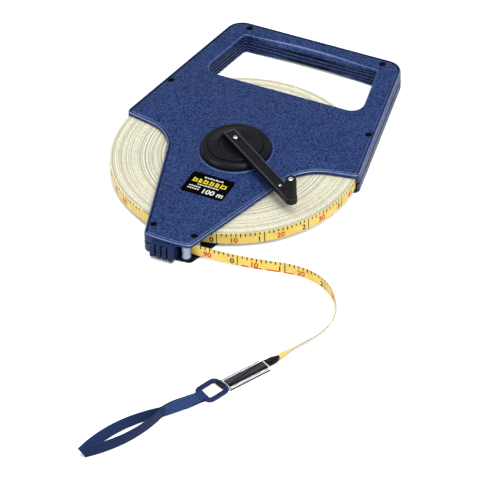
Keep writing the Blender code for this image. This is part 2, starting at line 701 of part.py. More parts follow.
# ---- Crank disc, shaft and bezel ----------------------------------------------------------
bezel_low = THICK + GAP
bezel_high = THICK + BEZEL_HEIGHT
bezel_round = BEZEL_WIDTH * 0.42
bezel_profile = [(BEZEL_INNER, bezel_high - 0.8 * MM), (BEZEL_INNER + 0.8 * MM, bezel_high)]
for step in range(4):
    turn = math.radians(90 - 30 * step)
    bezel_profile.append((BEZEL_OUTER - bezel_round * (1 - math.cos(turn)),
                          bezel_high - bezel_round * (1 - math.sin(turn))))
bezel_profile += [(BEZEL_OUTER, bezel_low), (LIP_RADIUS + GAP, bezel_low),
                  (LIP_RADIUS + GAP, LIP_HIGH + GAP), (BEZEL_INNER, LIP_HIGH + GAP)]
turned("hub_bezel", bezel_profile, sides=40, material=BLACK)

shaft_top = DISC_LOW + 3.9 * MM
disc = turned("crank_disc", [
    (0.0, DISC_TOP - DISC_DISH), (DISC_RADIUS * 0.6, DISC_TOP - DISC_DISH), (DISC_RADIUS * 0.66, DISC_TOP),
    (DISC_RADIUS - 0.8 * MM, DISC_TOP), (DISC_RADIUS, DISC_TOP - 0.8 * MM), (DISC_RADIUS, LIP_HIGH),
    (LIP_RADIUS, LIP_HIGH), (LIP_RADIUS, DISC_LOW), (0.0, DISC_LOW)],
    sides=40, material=BLACK)
hang(disc, crank_hub)


def along_arm(distance, across=0.0):
    """A place given along and across the crank arm."""
    return (distance * math.cos(ARM_ANGLE) - across * math.sin(ARM_ANGLE),
            distance * math.sin(ARM_ANGLE) + across * math.cos(ARM_ANGLE))


def arm_block(name, start, end, half, low, high):
    """A box laid along the crank arm."""
    block = box(name, (start, -half, low), (end, half, high))
    centre = along_arm((start + end) / 2)
    block.location = (centre[0], centre[1], (low + high) / 2)
    block.rotation_euler.z = ARM_ANGLE
    return block


boolean(disc, cylinder("shaft_bore", SHAFT_RADIUS + GAP, DISC_LOW - MM, shaft_top + GAP, sides=28))
boolean(disc, cylinder("disc_screw_hole", CRANK_BORE, DISC_LOW, DISC_TOP + MM, sides=20))
for index, spot in enumerate(planet_spots):
    boolean(disc, cylinder(f"pin_seat_{index + 1}", PIN_RADIUS + GAP, DISC_LOW - MM,
                           PIN_HIGH + GAP, spot, 16))
tail_gap = ARM_TAIL + GAP
boolean(disc, arm_block("disc_step", -40 * MM, -tail_gap - 3.4 * MM, 40 * MM,
                        DISC_TOP - 1.4 * MM, DISC_TOP + 5 * MM))
boolean(disc, arm_block("arm_stop", -tail_gap - 3.0 * MM, -tail_gap, ARM_HALF + 1.2 * MM,
                        DISC_TOP - 2 * MM, DISC_TOP + 2.6 * MM), "UNION")

shaft_low = PLATE + GAP
thread_low = shaft_top - CRANK_THREAD
shaft = turned("crank_shaft", [
    (CRANK_BORE, shaft_top), (SHAFT_RADIUS, shaft_top), (SHAFT_RADIUS, shaft_low),
    (0.0, shaft_low), (0.0, thread_low - MM), (CRANK_BORE, thread_low - MM)],
    sides=28, material=STEEL)
hang(shaft, crank_hub)


# ---- Crank arm, knob ----------------------------------------------------------------------
def arm_outline(margin):
    """Round-ended outer end, square inner end, shrunk by a margin."""
    half = ARM_HALF - margin
    outline = [along_arm(-ARM_TAIL + margin, -half), along_arm(ARM_THROW, -half)]
    for step in range(1, 12):
        turn = math.radians(-90 + 15 * step)
        outline.append(along_arm(ARM_THROW + half * math.cos(turn), half * math.sin(turn)))
    outline += [along_arm(ARM_THROW, half), along_arm(-ARM_TAIL + margin, half)]
    return outline


arm = prism("crank_arm", arm_outline(0.0), ARM_LOW, ARM_TOP, parts, BLACK)
boolean(arm, prism("arm_channel", arm_outline(ARM_RIB), WEB_TOP, ARM_TOP + MM))
boolean(arm, prism("arm_underside", arm_outline(ARM_RIB), ARM_LOW - MM, WEB_TOP - 1.8 * MM))
seat = cylinder("arm_seat", ARM_HALF - 0.5 * MM, ARM_LOW, WEB_TOP - MM, sides=28)
boolean(arm, seat, "UNION")
knob_seat = cylinder("knob_seat", KNOB_RADIUS - 0.4 * MM, ARM_LOW, ARM_TOP, KNOB_AXIS, 28)
boolean(arm, knob_seat, "UNION")
rivet_spot = along_arm(RIVET_THROW)
boolean(arm, cylinder("arm_screw_hole", CRANK_BORE, ARM_LOW - MM, ARM_TOP, sides=20))
boolean(arm, cylinder("knob_pin_hole", KNOB_PIN + GAP, ARM_LOW - MM, ARM_TOP + MM, KNOB_AXIS, 16))
boolean(arm, cylinder("rivet_hole", 1.3 * MM, ARM_LOW - MM, ARM_TOP, rivet_spot, 14))
hang(arm, crank_hub)

rivet = turned("arm_rivet", [
    (0.0, WEB_TOP + GAP + 0.9 * MM), (0.9 * MM, WEB_TOP + GAP + 0.8 * MM),
    (1.7 * MM, WEB_TOP + GAP + 0.3 * MM), (1.7 * MM, WEB_TOP + GAP), (MM, WEB_TOP + GAP),
    (MM, ARM_LOW + MM), (0.0, ARM_LOW + MM)], rivet_spot, 14, parts, STEEL)
hang(rivet, crank_hub)

washer_low = WEB_TOP + GAP
washer_high = washer_low + 0.5 * MM
washer = turned("crank_washer", [
    (CRANK_BORE, washer_high), (WASHER_RADIUS, washer_high),
    (WASHER_RADIUS, washer_low), (CRANK_BORE, washer_low)],
    sides=24, material=STEEL)
hang(washer, crank_hub)
crank_screw = turned("crank_screw", [
    (0.0, washer_high + 1.9 * MM), (CRANK_HEAD - MM, washer_high + 1.6 * MM),
    (CRANK_HEAD, washer_high + MM), (CRANK_HEAD, washer_high + GAP), (CRANK_SHANK, washer_high + GAP),
    (CRANK_SHANK, thread_low), (0.0, thread_low)],
    sides=20, material=STEEL)
hang(crank_screw, crank_hub)
boolean(crank_screw, box("screw_slot", (-4 * MM, -0.4 * MM, washer_high + 1.1 * MM),
                         (4 * MM, 0.4 * MM, washer_high + 3 * MM)))


def fluted_outline():
    outline = []
    for flute in range(KNOB_FLUTES):
        middle = 2 * math.pi * flute / KNOB_FLUTES
        for share, radius in ((-0.32, KNOB_RADIUS), (0.0, KNOB_RADIUS), (0.32, KNOB_RADIUS),
                              (0.5, KNOB_RADIUS - 0.6 * MM)):
            turn = middle + share * 2 * math.pi / KNOB_FLUTES
            outline.append((radius * math.cos(turn), radius * math.sin(turn)))
    return outline


knob_hub = pivot("knob_axis", KNOB_AXIS)
knob = prism("knob", fluted_outline(), KNOB_LOW, KNOB_TOP - MM, parts, BLACK)
knob.location.x, knob.location.y = KNOB_AXIS
crown = turned("knob_crown", [
    (0.0, KNOB_TOP), (KNOB_RADIUS - 1.2 * MM, KNOB_TOP), (KNOB_RADIUS - 0.2 * MM, KNOB_TOP - 0.9 * MM),
    (KNOB_RADIUS - 0.2 * MM, KNOB_TOP - 3 * MM), (0.0, KNOB_TOP - 3 * MM)], KNOB_AXIS, 28, cutters)
boolean(knob, crown, "UNION")
boolean(knob, cylinder("knob_bore", KNOB_PIN + 2 * GAP, KNOB_LOW - MM, KNOB_TOP + MM, KNOB_AXIS, 20))
boolean(knob, cylinder("knob_dimple", KNOB_PIN_HEAD + GAP, KNOB_TOP - KNOB_DIMPLE, KNOB_TOP + MM, KNOB_AXIS, 24))
hang(knob, knob_hub)
head_low = KNOB_TOP - KNOB_DIMPLE + GAP
knob_pin = turned("knob_pin", [
    (0.0, head_low + 1.5 * MM), (KNOB_PIN_HEAD - MM, head_low + 1.3 * MM),
    (KNOB_PIN_HEAD, head_low + 0.6 * MM), (KNOB_PIN_HEAD, head_low), (KNOB_PIN, head_low),
    (KNOB_PIN, ARM_LOW + 0.6 * MM), (0.0, ARM_LOW + 0.6 * MM)],
    KNOB_AXIS, 20, parts, STEEL)
hang(knob_pin, crank_hub)


# ---- Tape outside the pack ----------------------------------------------------------------
def smooth_route(route, count):
    """Points at even steps along a Catmull-Rom curve through the route."""
    dense = []
    for index in range(len(route) - 1):
        before = Vector(route[max(index - 1, 0)])
        start = Vector(route[index])
        end = Vector(route[index + 1])
        after = Vector(route[min(index + 2, len(route) - 1)])
        for step in range(16):
            share = step / 16
            dense.append(0.5 * (2 * start + (end - before) * share
                                + (2 * before - 5 * start + 4 * end - after) * share ** 2
                                + (3 * start - before - 3 * end + after) * share ** 3))
    dense.append(Vector(route[-1]))
    run = [0.0]
    for start, end in zip(dense, dense[1:]):
        run.append(run[-1] + (end.xyz - start.xyz).length)
    picked = []
    cursor = 0
    for step in range(count):
        target = run[-1] * step / (count - 1)
        while cursor < len(run) - 2 and run[cursor + 1] < target:
            cursor += 1
        share = (target - run[cursor]) / (run[cursor + 1] - run[cursor])
        picked.append(dense[cursor].lerp(dense[cursor + 1], min(1.0, share)))
    return picked


def ribbon(name, points, width, thickness, material):
    """A flat strip whose (x, y, z, lean) points give its middle and how far it leans left of upright."""
    half_w = width / 2
    half_t = thickness / 2
    profile = bpy.data.curves.new(name + "_section", "CURVE")
    profile.dimensions = "2D"
    section = profile.splines.new("POLY")
    section.points.add(3)
    for point, spot in zip(section.points, ((-half_t, -half_w), (half_t, -half_w),
                                            (half_t, half_w), (-half_t, half_w))):
        point.co = (spot[0], spot[1], 0.0, 1.0)
    section.use_cyclic_u = True
    guide = bpy.data.objects.new(name + "_section", profile)
    place(guide, cutters)
    curve = bpy.data.curves.new(name, "CURVE")
    curve.dimensions = "3D"
    curve.twist_mode = "Z_UP"
    curve.bevel_mode = "OBJECT"
    curve.bevel_object = guide
    curve.use_fill_caps = True
    spline = curve.splines.new("POLY")
    spline.points.add(len(points) - 1)
    for point, spot in zip(spline.points, points):
        point.co = (spot[0], spot[1], spot[2], 1.0)
        point.tilt = -math.radians(spot[3])
    obj = bpy.data.objects.new(name, curve)
    bpy.context.scene.collection.objects.link(obj)
    bpy.context.view_layer.update()
    return welded_mesh(obj, parts, material)


lead_start = Vector(lift_off) + heading * 1.5 * MM
lead_mid = Vector(lift_off).lerp(Vector(slit), 0.5)
lead_height = (PACK_LOW + PACK_HIGH) / 2
ribbon("tape_lead", [(lead_start.x, lead_start.y, lead_height, 0.0),
                     (lead_mid.x, lead_mid.y, lead_height, 0.0),
                     (slit[0] - 6 * MM, slit[1] + 2.0 * MM, lead_height, 0.0),
                     (slit[0], slit[1], lead_height, 0.0),
                     (slit[0] + 3.2 * MM, slit[1] + 0.1 * MM, lead_height, 0.0)],
       TAPE_WIDTH - 0.2 * MM, TAPE_SOLID, YELLOW)

route = [(x * MM, y * MM, z * MM, lean) for x, y, z, lean in TAPE_ROUTE]
ribbon("free_tape", smooth_route(route, TAPE_POINTS), TAPE_WIDTH, TAPE_SOLID, YELLOW)


# ---- End fitting: sleeve, link and hand strap ---------------------------------------------
def floor_place(obj, spot, heading_angle):
    obj.location.x = spot[0]
    obj.location.y = spot[1]
    obj.rotation_euler.z = heading_angle
    return obj


half = SLEEVE_WIDTH / 2
tip_outline = [
    (0.0, -1.6 * MM), (2.5 * MM, -2.9 * MM), (SLEEVE_TIP * 0.6, -half + 0.4 * MM), (SLEEVE_TIP, -half),
    (SLEEVE_TIP + SLEEVE_LENGTH, -half), (SLEEVE_TIP + SLEEVE_LENGTH, half), (SLEEVE_TIP, half),
    (SLEEVE_TIP * 0.6, half - 0.4 * MM), (2.5 * MM, 2.9 * MM), (0.0, 1.6 * MM)]
sleeve = prism("end_sleeve", tip_outline, 0.5 * MM, 0.5 * MM + SLEEVE_THICK, parts, BLACK)
floor_place(sleeve, SLEEVE_START, SLEEVE_HEADING)

film_low = 0.1 * MM
film_outline = rounded([
    (SLEEVE_TIP + MM, -FILM_WIDTH / 2, MM), (SLEEVE_TIP + SLEEVE_LENGTH + 0.6 * MM, -FILM_WIDTH / 2, MM),
    (SLEEVE_TIP + SLEEVE_LENGTH + 0.6 * MM, FILM_WIDTH / 2, MM), (SLEEVE_TIP + MM, FILM_WIDTH / 2, MM)],
    math.radians(45))
film = prism("sleeve_film", film_outline, film_low, 0.8 * MM + SLEEVE_THICK, parts, CLEAR)
boolean(film, prism("film_hollow", [
    (SLEEVE_TIP - MM, -half - GAP), (SLEEVE_TIP + SLEEVE_LENGTH + 2 * MM, -half - GAP),
    (SLEEVE_TIP + SLEEVE_LENGTH + 2 * MM, half + GAP), (SLEEVE_TIP - MM, half + GAP)],
    film_low + 0.15 * MM, 4 * MM + SLEEVE_THICK))
floor_place(film, SLEEVE_START, SLEEVE_HEADING)
for modifier in film.modifiers:
    floor_place(modifier.object, SLEEVE_START, SLEEVE_HEADING)


def link_corners(margin, radius):
    half_l = LINK_LENGTH / 2 - margin
    half_w = LINK_WIDTH / 2 - margin
    return rounded([(-half_l, -half_w, radius), (half_l, -half_w, radius),
                    (half_l, half_w, radius), (-half_l, half_w, radius)], math.radians(30))


link = prism("ring_link", link_corners(0.0, 5 * MM), 0.3 * MM, 0.3 * MM + LINK_THICK, parts, BLUE,
             link_corners(LINK_BAR, 1.6 * MM))
floor_place(link, LINK_CENTRE, LINK_HEADING)


def leaf_outline(start, end, bow, steps=10):
    """A closed leaf between two places, bowed out to both sides."""
    along = (end - start).normalized()
    across = Vector((-along.y, along.x))
    outline = []
    for step in range(steps):
        share = step / steps
        outline.append(start.lerp(end, share) - across * bow * math.sin(math.pi * share) ** 0.8)
    for step in range(steps):
        share = 1 - step / steps
        outline.append(start.lerp(end, share) + across * bow * math.sin(math.pi * share) ** 0.8)
    return [(spot.x, spot.y) for spot in outline]


fork = Vector(STRAP_FORK)
crease = Vector(STRAP_CREASE)
strap_heading = (crease - fork).normalized()
strap_low = 0.2 * MM
strap = prism("hand_strap", leaf_outline(fork, crease, STRAP_BOW + STRAP_THICK),
              strap_low, strap_low + STRAP_WIDTH, parts, WEBBING)
inner_leaf = leaf_outline(fork + strap_heading * 5 * MM, crease - strap_heading * 5 * MM,
                          STRAP_BOW - STRAP_THICK / 2)
boolean(strap, prism("strap_opening", inner_leaf, -MM, 20 * MM))
link_reach = LINK_LENGTH / 2 + STRAP_STANDOFF
tail_start = Vector(LINK_CENTRE) + link_reach * Vector((math.cos(LINK_HEADING), math.sin(LINK_HEADING)))
tail_run = fork + strap_heading * 4 * MM - tail_start
tail = box("strap_tail", (0.0, -STRAP_WIDTH / 2, strap_low),
           (tail_run.length, STRAP_WIDTH / 2, strap_low + 2.4 * MM))
tail.rotation_euler.z = math.atan2(tail_run.y, tail_run.x)
tail_middle = tail_start + tail_run / 2
tail.location.x = tail_middle.x
tail.location.y = tail_middle.y
boolean(strap, tail, "UNION")
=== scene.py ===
"""Looks of the surveyor's open tape reel. Lengths are metres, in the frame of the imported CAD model."""
import math
import random

import bmesh
import bpy
import numpy as np
from mathutils import Matrix, Vector


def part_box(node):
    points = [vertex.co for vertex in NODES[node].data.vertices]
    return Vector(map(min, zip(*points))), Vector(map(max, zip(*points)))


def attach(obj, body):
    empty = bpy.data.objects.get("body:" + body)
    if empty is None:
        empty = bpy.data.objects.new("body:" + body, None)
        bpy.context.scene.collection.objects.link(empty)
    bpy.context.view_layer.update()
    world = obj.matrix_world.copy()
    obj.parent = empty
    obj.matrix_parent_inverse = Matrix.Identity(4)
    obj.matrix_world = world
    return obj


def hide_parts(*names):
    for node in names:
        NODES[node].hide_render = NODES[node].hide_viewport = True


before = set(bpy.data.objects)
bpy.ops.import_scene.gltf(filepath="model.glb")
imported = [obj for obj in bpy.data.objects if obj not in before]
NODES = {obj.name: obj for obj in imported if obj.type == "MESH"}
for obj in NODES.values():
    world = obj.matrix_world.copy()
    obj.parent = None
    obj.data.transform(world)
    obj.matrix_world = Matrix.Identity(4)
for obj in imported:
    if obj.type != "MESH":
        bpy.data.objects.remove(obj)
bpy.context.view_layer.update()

MM = 0.001
scene = bpy.context.scene
random.seed(7)

# ---- Camera -------------------------------------------------------------------------------
CAMERA_AIM = Vector((51.67, -98.78, 4.63)) * MM
CAMERA_AZIMUTH = math.radians(26.93)
CAMERA_ELEVATION = math.radians(39.90)
CAMERA_ROLL = math.radians(1.72)
CAMERA_DISTANCE = 3.0819
CAMERA_LENS = 254.47                # mm, on a 36 mm sensor

back = Vector((math.sin(CAMERA_AZIMUTH) * math.cos(CAMERA_ELEVATION),
               -math.cos(CAMERA_AZIMUTH) * math.cos(CAMERA_ELEVATION), math.sin(CAMERA_ELEVATION)))
level = Vector((math.cos(CAMERA_AZIMUTH), math.sin(CAMERA_AZIMUTH), 0.0))
upward = back.cross(level)
camera_x = level * math.cos(CAMERA_ROLL) - upward * math.sin(CAMERA_ROLL)
camera_y = level * math.sin(CAMERA_ROLL) + upward * math.cos(CAMERA_ROLL)
camera_data = bpy.data.cameras.new("camera")
camera_data.lens = CAMERA_LENS
camera_data.sensor_width = 36.0
camera_data.clip_end = 20.0
camera = bpy.data.objects.new("camera", camera_data)
turn = Matrix((camera_x, camera_y, back)).transposed().to_4x4()
camera.matrix_world = Matrix.Translation(CAMERA_AIM + back * CAMERA_DISTANCE) @ turn
scene.collection.objects.link(camera)
scene.camera = camera

# ---- Sizes --------------------------------------------------------------------------------
# These are the CAD model's, but for the last leans of TAPE_ROUTE and for STRAP_FORK, STRAP_CREASE and
# STRAP_BOW, which lie a few degrees or millimetres away from it.
GAP = 0.3 * MM
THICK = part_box("label")[1].z
MID = THICK / 2
PLATE = 3.2 * MM
WALL = 2.2 * MM
CEILING = THICK - PLATE
PACK_RADIUS = 117.5 * MM
PACK_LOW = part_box("tape_pack")[0].z
PACK_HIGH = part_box("tape_pack")[1].z
PACK_CORE = 30.3 * MM
PACK_ROOM = PACK_RADIUS + 1.4 * MM
TAPE_WIDTH = 12.0 * MM
NOSE_END = -142.8 * MM
NOSE_CROWN = 1.6 * MM
HOLE_TOP = 165.5 * MM
GUIDE = Vector((20.6, -128.3)) * MM
ROLLER = Vector((17.3, -138.8)) * MM
SCREWS = [Vector(place) * MM for place in (
    (-70.6, 176.5), (70.6, 176.5), (-103.3, 71.2), (103.3, 71.2), (-20.6, -128.3), (20.6, -128.3))]
SCREW_POST = 3.9 * MM
SCREW_SINK = 1.6 * MM
SCREW_HEAD = 2.3 * MM
HUB_HOLE = 26.0 * MM
BEZEL_INNER = 26.4 * MM
BEZEL_OUTER = 33.4 * MM
DISC_RADIUS = 26.1 * MM
DISC_LOW = THICK + 0.4 * MM
DISC_TOP = THICK + 8.2 * MM
ARM_ANGLE = math.radians(-34.3)
ARM_THROW = 101.5 * MM
ARM_TAIL = 12.4 * MM
ARM_HALF = 5.8 * MM
ARM_LOW = DISC_TOP + GAP
ARM_TOP = ARM_LOW + 6.0 * MM
WEB_TOP = ARM_TOP - 1.2 * MM
RIVET_THROW = 82.0 * MM
KNOB_LOW = ARM_TOP + GAP
KNOB_TOP = KNOB_LOW + 20.8 * MM
KNOB_AXIS = Vector((math.cos(ARM_ANGLE), math.sin(ARM_ANGLE))) * ARM_THROW
LABEL_SIZE = Vector((42.6, 30.0)) * MM
LABEL_Y = -(BEZEL_OUTER + LABEL_SIZE.y / 2 + 10.6 * MM)

# Free tape: centre of the tape's width (mm), and its lean from upright (degrees).
TAPE_ROUTE = [
    (24.5, -133.6, 10.2, 0), (35.0, -132.6, 9.6, 0), (47.8, -131.2, 8.8, 0),
    (60.0, -129.2, 7.9, 0), (72.0, -126.8, 7.1, 0), (85.0, -123.9, 6.5, 0),
    (98.0, -120.9, 6.2, 0), (110.0, -118.7, 6.1, 0), (121.5, -118.0, 6.1, 0),
    (133.0, -119.3, 6.1, 0), (144.0, -122.8, 6.1, 0), (154.5, -129.0, 6.1, -3),
    (163.2, -137.6, 6.2, -4), (170.0, -148.6, 6.2, 4), (173.9, -160.5, 6.1, 18.5),
    (174.3, -172.0, 5.7, 32), (171.6, -183.5, 5.1, 40), (167.0, -194.5, 4.9, 43.3),
    (161.5, -205.0, 4.8, 45), (155.8, -215.2, 4.2, 52), (151.6, -222.8, 2.2, 74),
]
SLEEVE_START = Vector((150.6, -224.6)) * MM
SLEEVE_HEADING = math.radians(-118.0)
SLEEVE_TIP = 15.0 * MM
SLEEVE_LENGTH = 44.0 * MM
SLEEVE_WIDTH = 8.9 * MM
FILM_WIDTH = 15.7 * MM
LINK_CENTRE = Vector((116.3, -287.8)) * MM
LINK_HEADING = math.radians(-112.0)
LINK_SIZE = Vector((24.3, 19.8)) * MM
LINK_BAR = 3.6 * MM
STRAP_FORK = Vector((91.2, -334.0)) * MM
STRAP_CREASE = Vector((53.6, -406.3)) * MM
STRAP_BOW = 7.6 * MM
STRAP_WIDTH = 11.0 * MM
STRAP_THICK = 1.1 * MM


# ---- Materials ----------------------------------------------------------------------------
def add(tree, kind, inputs=None, **settings):
    """Add a shader node; inputs are values or sockets by name or number."""
    made = tree.nodes.new("ShaderNode" + kind)
    for name, value in settings.items():
        setattr(made, name, value)
    for name, value in (inputs or {}).items():
        if isinstance(value, bpy.types.NodeSocket):
            tree.links.new(value, made.inputs[name])
        else:
            made.inputs[name].default_value = value
    return made


def ramp(tree, factor, stops):
    """A colour ramp through (position, grey or colour) stops."""
    made = add(tree, "ValToRGB", {"Fac": factor})
    elements = made.color_ramp.elements
    while len(elements) < len(stops):
        elements.new(0.5)
    for element, (position, colour) in zip(elements, stops):
        element.position = position
        element.color = (*colour, 1.0) if hasattr(colour, "__len__") else (colour, colour, colour, 1.0)
    return made.outputs["Color"]


def blank(name, roughness, metallic=0.0, specular=0.5, coat=0.0):
    material = bpy.data.materials.new(name)
    material.use_nodes = True
    tree = material.node_tree
    shader = tree.nodes["Principled BSDF"]
    shader.inputs["Roughness"].default_value = roughness
    shader.inputs["Metallic"].default_value = metallic
    shader.inputs["Specular IOR Level"].default_value = specular
    shader.inputs["Coat Weight"].default_value = coat
    return material, tree, shader


def tint(tree, shader, socket, factor, stops):
    tree.links.new(ramp(tree, factor, stops), shader.inputs[socket])


def bumped(tree, shader, height, strength, distance):
    bump = add(tree, "Bump", {"Strength": strength, "Distance": distance, "Height": height})
    tree.links.new(bump.outputs["Normal"], shader.inputs["Normal"])


BROAD_SHARE = 0.06                  # how far the broad mottling shifts the fine grain
GRAIN_MIDDLE = 0.53
GRAIN_SPREAD = 0.12


def grained(name, dark, light, roughness, grain, depth, metallic=0.0, specular=0.12, contrast=1.0):
    """Moulded plastic or metal: fine two-tone grain, uneven gloss and a bump of the grain's size."""
    material, tree, shader = blank(name, roughness[0], metallic, specular)
    place = add(tree, "TexCoord").outputs["Object"]
    fine = add(tree, "TexNoise", {"Vector": place, "Scale": 1.0 / grain, "Detail": 2.0, "Roughness": 0.7})
    broad = add(tree, "TexNoise", {"Vector": place, "Scale": 38.0, "Detail": 4.0})
    both = add(tree, "Math", {0: broad.outputs["Fac"], 1: BROAD_SHARE, 2: fine.outputs["Fac"]},
               operation="MULTIPLY_ADD")
    spread = GRAIN_SPREAD * contrast
    tint(tree, shader, "Base Color", both.outputs[0],
         [(GRAIN_MIDDLE - spread, dark), (GRAIN_MIDDLE + spread, light)])
    tint(tree, shader, "Roughness", broad.outputs["Fac"], [(0.3, roughness[0]), (0.7, roughness[1])])
    bumped(tree, shader, fine.outputs["Fac"], 0.35, depth)
    return material


def wound_edges():
    """Edges of the wound tape: cream, with fine rings and a few broken dark grey lines at some radii."""
    material, tree, shader = blank("wound_tape_edges", 0.7, specular=0.1)
    place = add(tree, "TexCoord").outputs["Object"]
    flat = add(tree, "VectorMath", {0: place, 1: (1.0, 1.0, 0.0)}, operation="MULTIPLY")
    radius = add(tree, "VectorMath", {0: flat.outputs[0]}, operation="LENGTH").outputs["Value"]
    rings = add(tree, "TexNoise", {"W": radius, "Scale": 620.0, "Detail": 3.0, "Roughness": 0.75},
                noise_dimensions="1D").outputs["Fac"]
    bands = add(tree, "TexNoise", {"W": radius, "Scale": 130.0, "Detail": 0.0},
                noise_dimensions="1D").outputs["Fac"]
    dust = add(tree, "TexNoise", {"Vector": place, "Scale": 520.0, "Detail": 2.0}).outputs["Fac"]
    fine = ramp(tree, rings, [(0.36, (0.29, 0.28, 0.205)), (0.47, (0.51, 0.495, 0.385)),
                              (0.64, (0.66, 0.64, 0.515))])
    offset = add(tree, "Math", {0: bands, 1: 0.5}, operation="SUBTRACT")
    away = add(tree, "Math", {0: offset.outputs[0]}, operation="ABSOLUTE")
    line = ramp(tree, away.outputs[0], [(0.006, 1.0), (0.022, 0.0)])
    broken = ramp(tree, dust, [(0.40, 0.25), (0.60, 0.75)])
    amount = add(tree, "Math", {0: line, 1: broken}, operation="MULTIPLY")
    colour = add(tree, "Mix", {"Factor": amount.outputs[0], 6: fine, 7: (0.11, 0.108, 0.095, 1.0)},
                 data_type="RGBA")
    specks = ramp(tree, dust, [(0.36, 0.84), (0.60, 1.0)])
    dusty = add(tree, "Mix", {"Factor": 1.0, 6: colour.outputs[2], 7: specks}, data_type="RGBA",
                blend_type="MULTIPLY")
    tree.links.new(dusty.outputs[2], shader.inputs["Base Color"])
    bumped(tree, shader, rings, 0.4, 0.15 * MM)
    return material


def tape_face(name, light, dark):
    """Coated fibreglass tape: glossy, with lengthwise yarns under the coat. UV is metres along and across."""
    material, tree, shader = blank(name, 0.34, specular=0.15, coat=0.05)
    uv = add(tree, "UVMap").outputs["UV"]
    stretched = add(tree, "VectorMath", {0: uv, 1: (60.0, 2600.0, 0.0)}, operation="MULTIPLY")
    yarns = add(tree, "TexNoise", {"Vector": stretched.outputs[0], "Scale": 1.0, "Detail": 2.0})
    stains = add(tree, "TexNoise", {"Vector": uv, "Scale": 70.0, "Detail": 4.0})
    both = add(tree, "Math", {0: yarns.outputs["Fac"], 1: stains.outputs["Fac"]}, operation="ADD")
    tint(tree, shader, "Base Color", both.outputs[0], [(0.75, dark), (1.2, light)])
    tint(tree, shader, "Roughness", stains.outputs["Fac"], [(0.3, 0.28), (0.7, 0.42)])
    bumped(tree, shader, yarns.outputs["Fac"], 0.25, 0.05 * MM)
    return material


def woven(name, dark, light, pitch):
    """Webbing: a twill of warp and weft yarns. UV is metres along and across."""
    material, tree, shader = blank(name, 0.78, specular=0.1)
    shader.inputs["Sheen Weight"].default_value = 0.05
    uv = add(tree, "UVMap").outputs["UV"]
    warp = add(tree, "TexWave", {"Vector": uv, "Scale": 0.16 / pitch, "Distortion": 0.4, "Detail": 1.0},
               bands_direction="DIAGONAL")
    across = add(tree, "VectorMath", {0: uv, 1: (1.0, -1.0, 1.0)}, operation="MULTIPLY")
    weft = add(tree, "TexWave", {"Vector": across.outputs[0], "Scale": 0.16 / pitch, "Distortion": 0.4},
               bands_direction="DIAGONAL")
    yarns = add(tree, "Math", {0: warp.outputs["Fac"], 1: weft.outputs["Fac"]}, operation="MULTIPLY")
    fuzz = add(tree, "TexNoise", {"Vector": uv, "Scale": 2400.0, "Detail": 2.0})
    both = add(tree, "Math", {0: fuzz.outputs["Fac"], 1: 0.4, 2: yarns.outputs[0]},
               operation="MULTIPLY_ADD")
    tint(tree, shader, "Base Color", both.outputs[0], [(0.15, dark), (0.9, light)])
    bumped(tree, shader, both.outputs[0], 0.8, 0.25 * MM)
    return material


def clear_film():
    material, tree, shader = blank("clear_film", 0.06)
    shader.inputs["Base Color"].default_value = (0.97, 0.98, 0.99, 1.0)
    shader.inputs["Transmission Weight"].default_value = 1.0
    shader.inputs["IOR"].default_value = 1.45
    place = add(tree, "TexCoord").outputs["Object"]
    ripples = add(tree, "TexNoise", {"Vector": place, "Scale": 260.0, "Detail": 2.0})
    bumped(tree, shader, ripples.outputs["Fac"], 0.2, 0.1 * MM)
    return material


BLUE = grained("blue_abs", (0.0004, 0.0050, 0.038), (0.0225, 0.0460, 0.138), (0.38, 0.50), 1.3 * MM,
               0.12 * MM,
               contrast=0.62)
# Painted highlight: a lighter blue for the rounded rims and the hub collar's lip.
RIM_HIGHLIGHT_BLUE = grained("blue_abs_rim_painted_highlight", (0.030, 0.058, 0.150), (0.110, 0.155, 0.300), (0.22, 0.32),
                   0.9 * MM,
                   0.03 * MM, specular=0.5)
# Painted shade: near-black blue for grooves in the covers and the foot.
GROOVE_SHADE_BLUE = grained("blue_abs_groove_painted_shade", (0.0015, 0.005, 0.022), (0.004, 0.010, 0.036), (0.5, 0.6),
                      0.9 * MM,
                      0.05 * MM)
# Painted shade: near-black for the covers' inner faces, the mouth and the screw recesses.
INNER_SHADE_BLACK = grained("inner_faces_painted_shade", (0.0012, 0.0015, 0.003), (0.004, 0.005, 0.009), (0.6, 0.7), 1.0 * MM,
                      0.08 * MM, specular=0.06)
DEEP_BLUE = grained("blue_abs_foot", (0.0012, 0.0050, 0.025), (0.011, 0.024, 0.078), (0.40, 0.52), 0.9 * MM,
                    0.08 * MM)
BLACK = grained("black_nylon", (0.0012, 0.0014, 0.0022), (0.0065, 0.0070, 0.0095), (0.26, 0.42), 0.8 * MM,
                0.06 * MM)
# Painted highlight: a lighter black for the tops of the crank arm's ribs.
RIB_HIGHLIGHT_BLACK = grained("black_nylon_rib_painted_highlight", (0.006, 0.007, 0.010), (0.030, 0.032, 0.040), (0.20, 0.34),
                     0.8 * MM, 0.04 * MM, specular=0.4)
SOFT_BLACK = grained("black_vinyl", (0.002, 0.002, 0.0025), (0.008, 0.008, 0.009), (0.3, 0.45), 0.5 * MM,
                     0.04 * MM)
SLATE = grained("grey_strip", (0.006, 0.0065, 0.009), (0.042, 0.045, 0.053), (0.55, 0.7), 0.8 * MM,
                0.10 * MM)
ROLLER_GREY = grained("grey_acetal", (0.17, 0.203, 0.305), (0.235, 0.272, 0.385), (0.25, 0.38), 1.2 * MM,
                      0.02 * MM,
                      specular=0.4)
GEAR_WHITE = grained("gear_acetal", (0.36, 0.36, 0.34), (0.46, 0.46, 0.43), (0.35, 0.5), 1.0 * MM,
                     0.02 * MM,
                     specular=0.4)
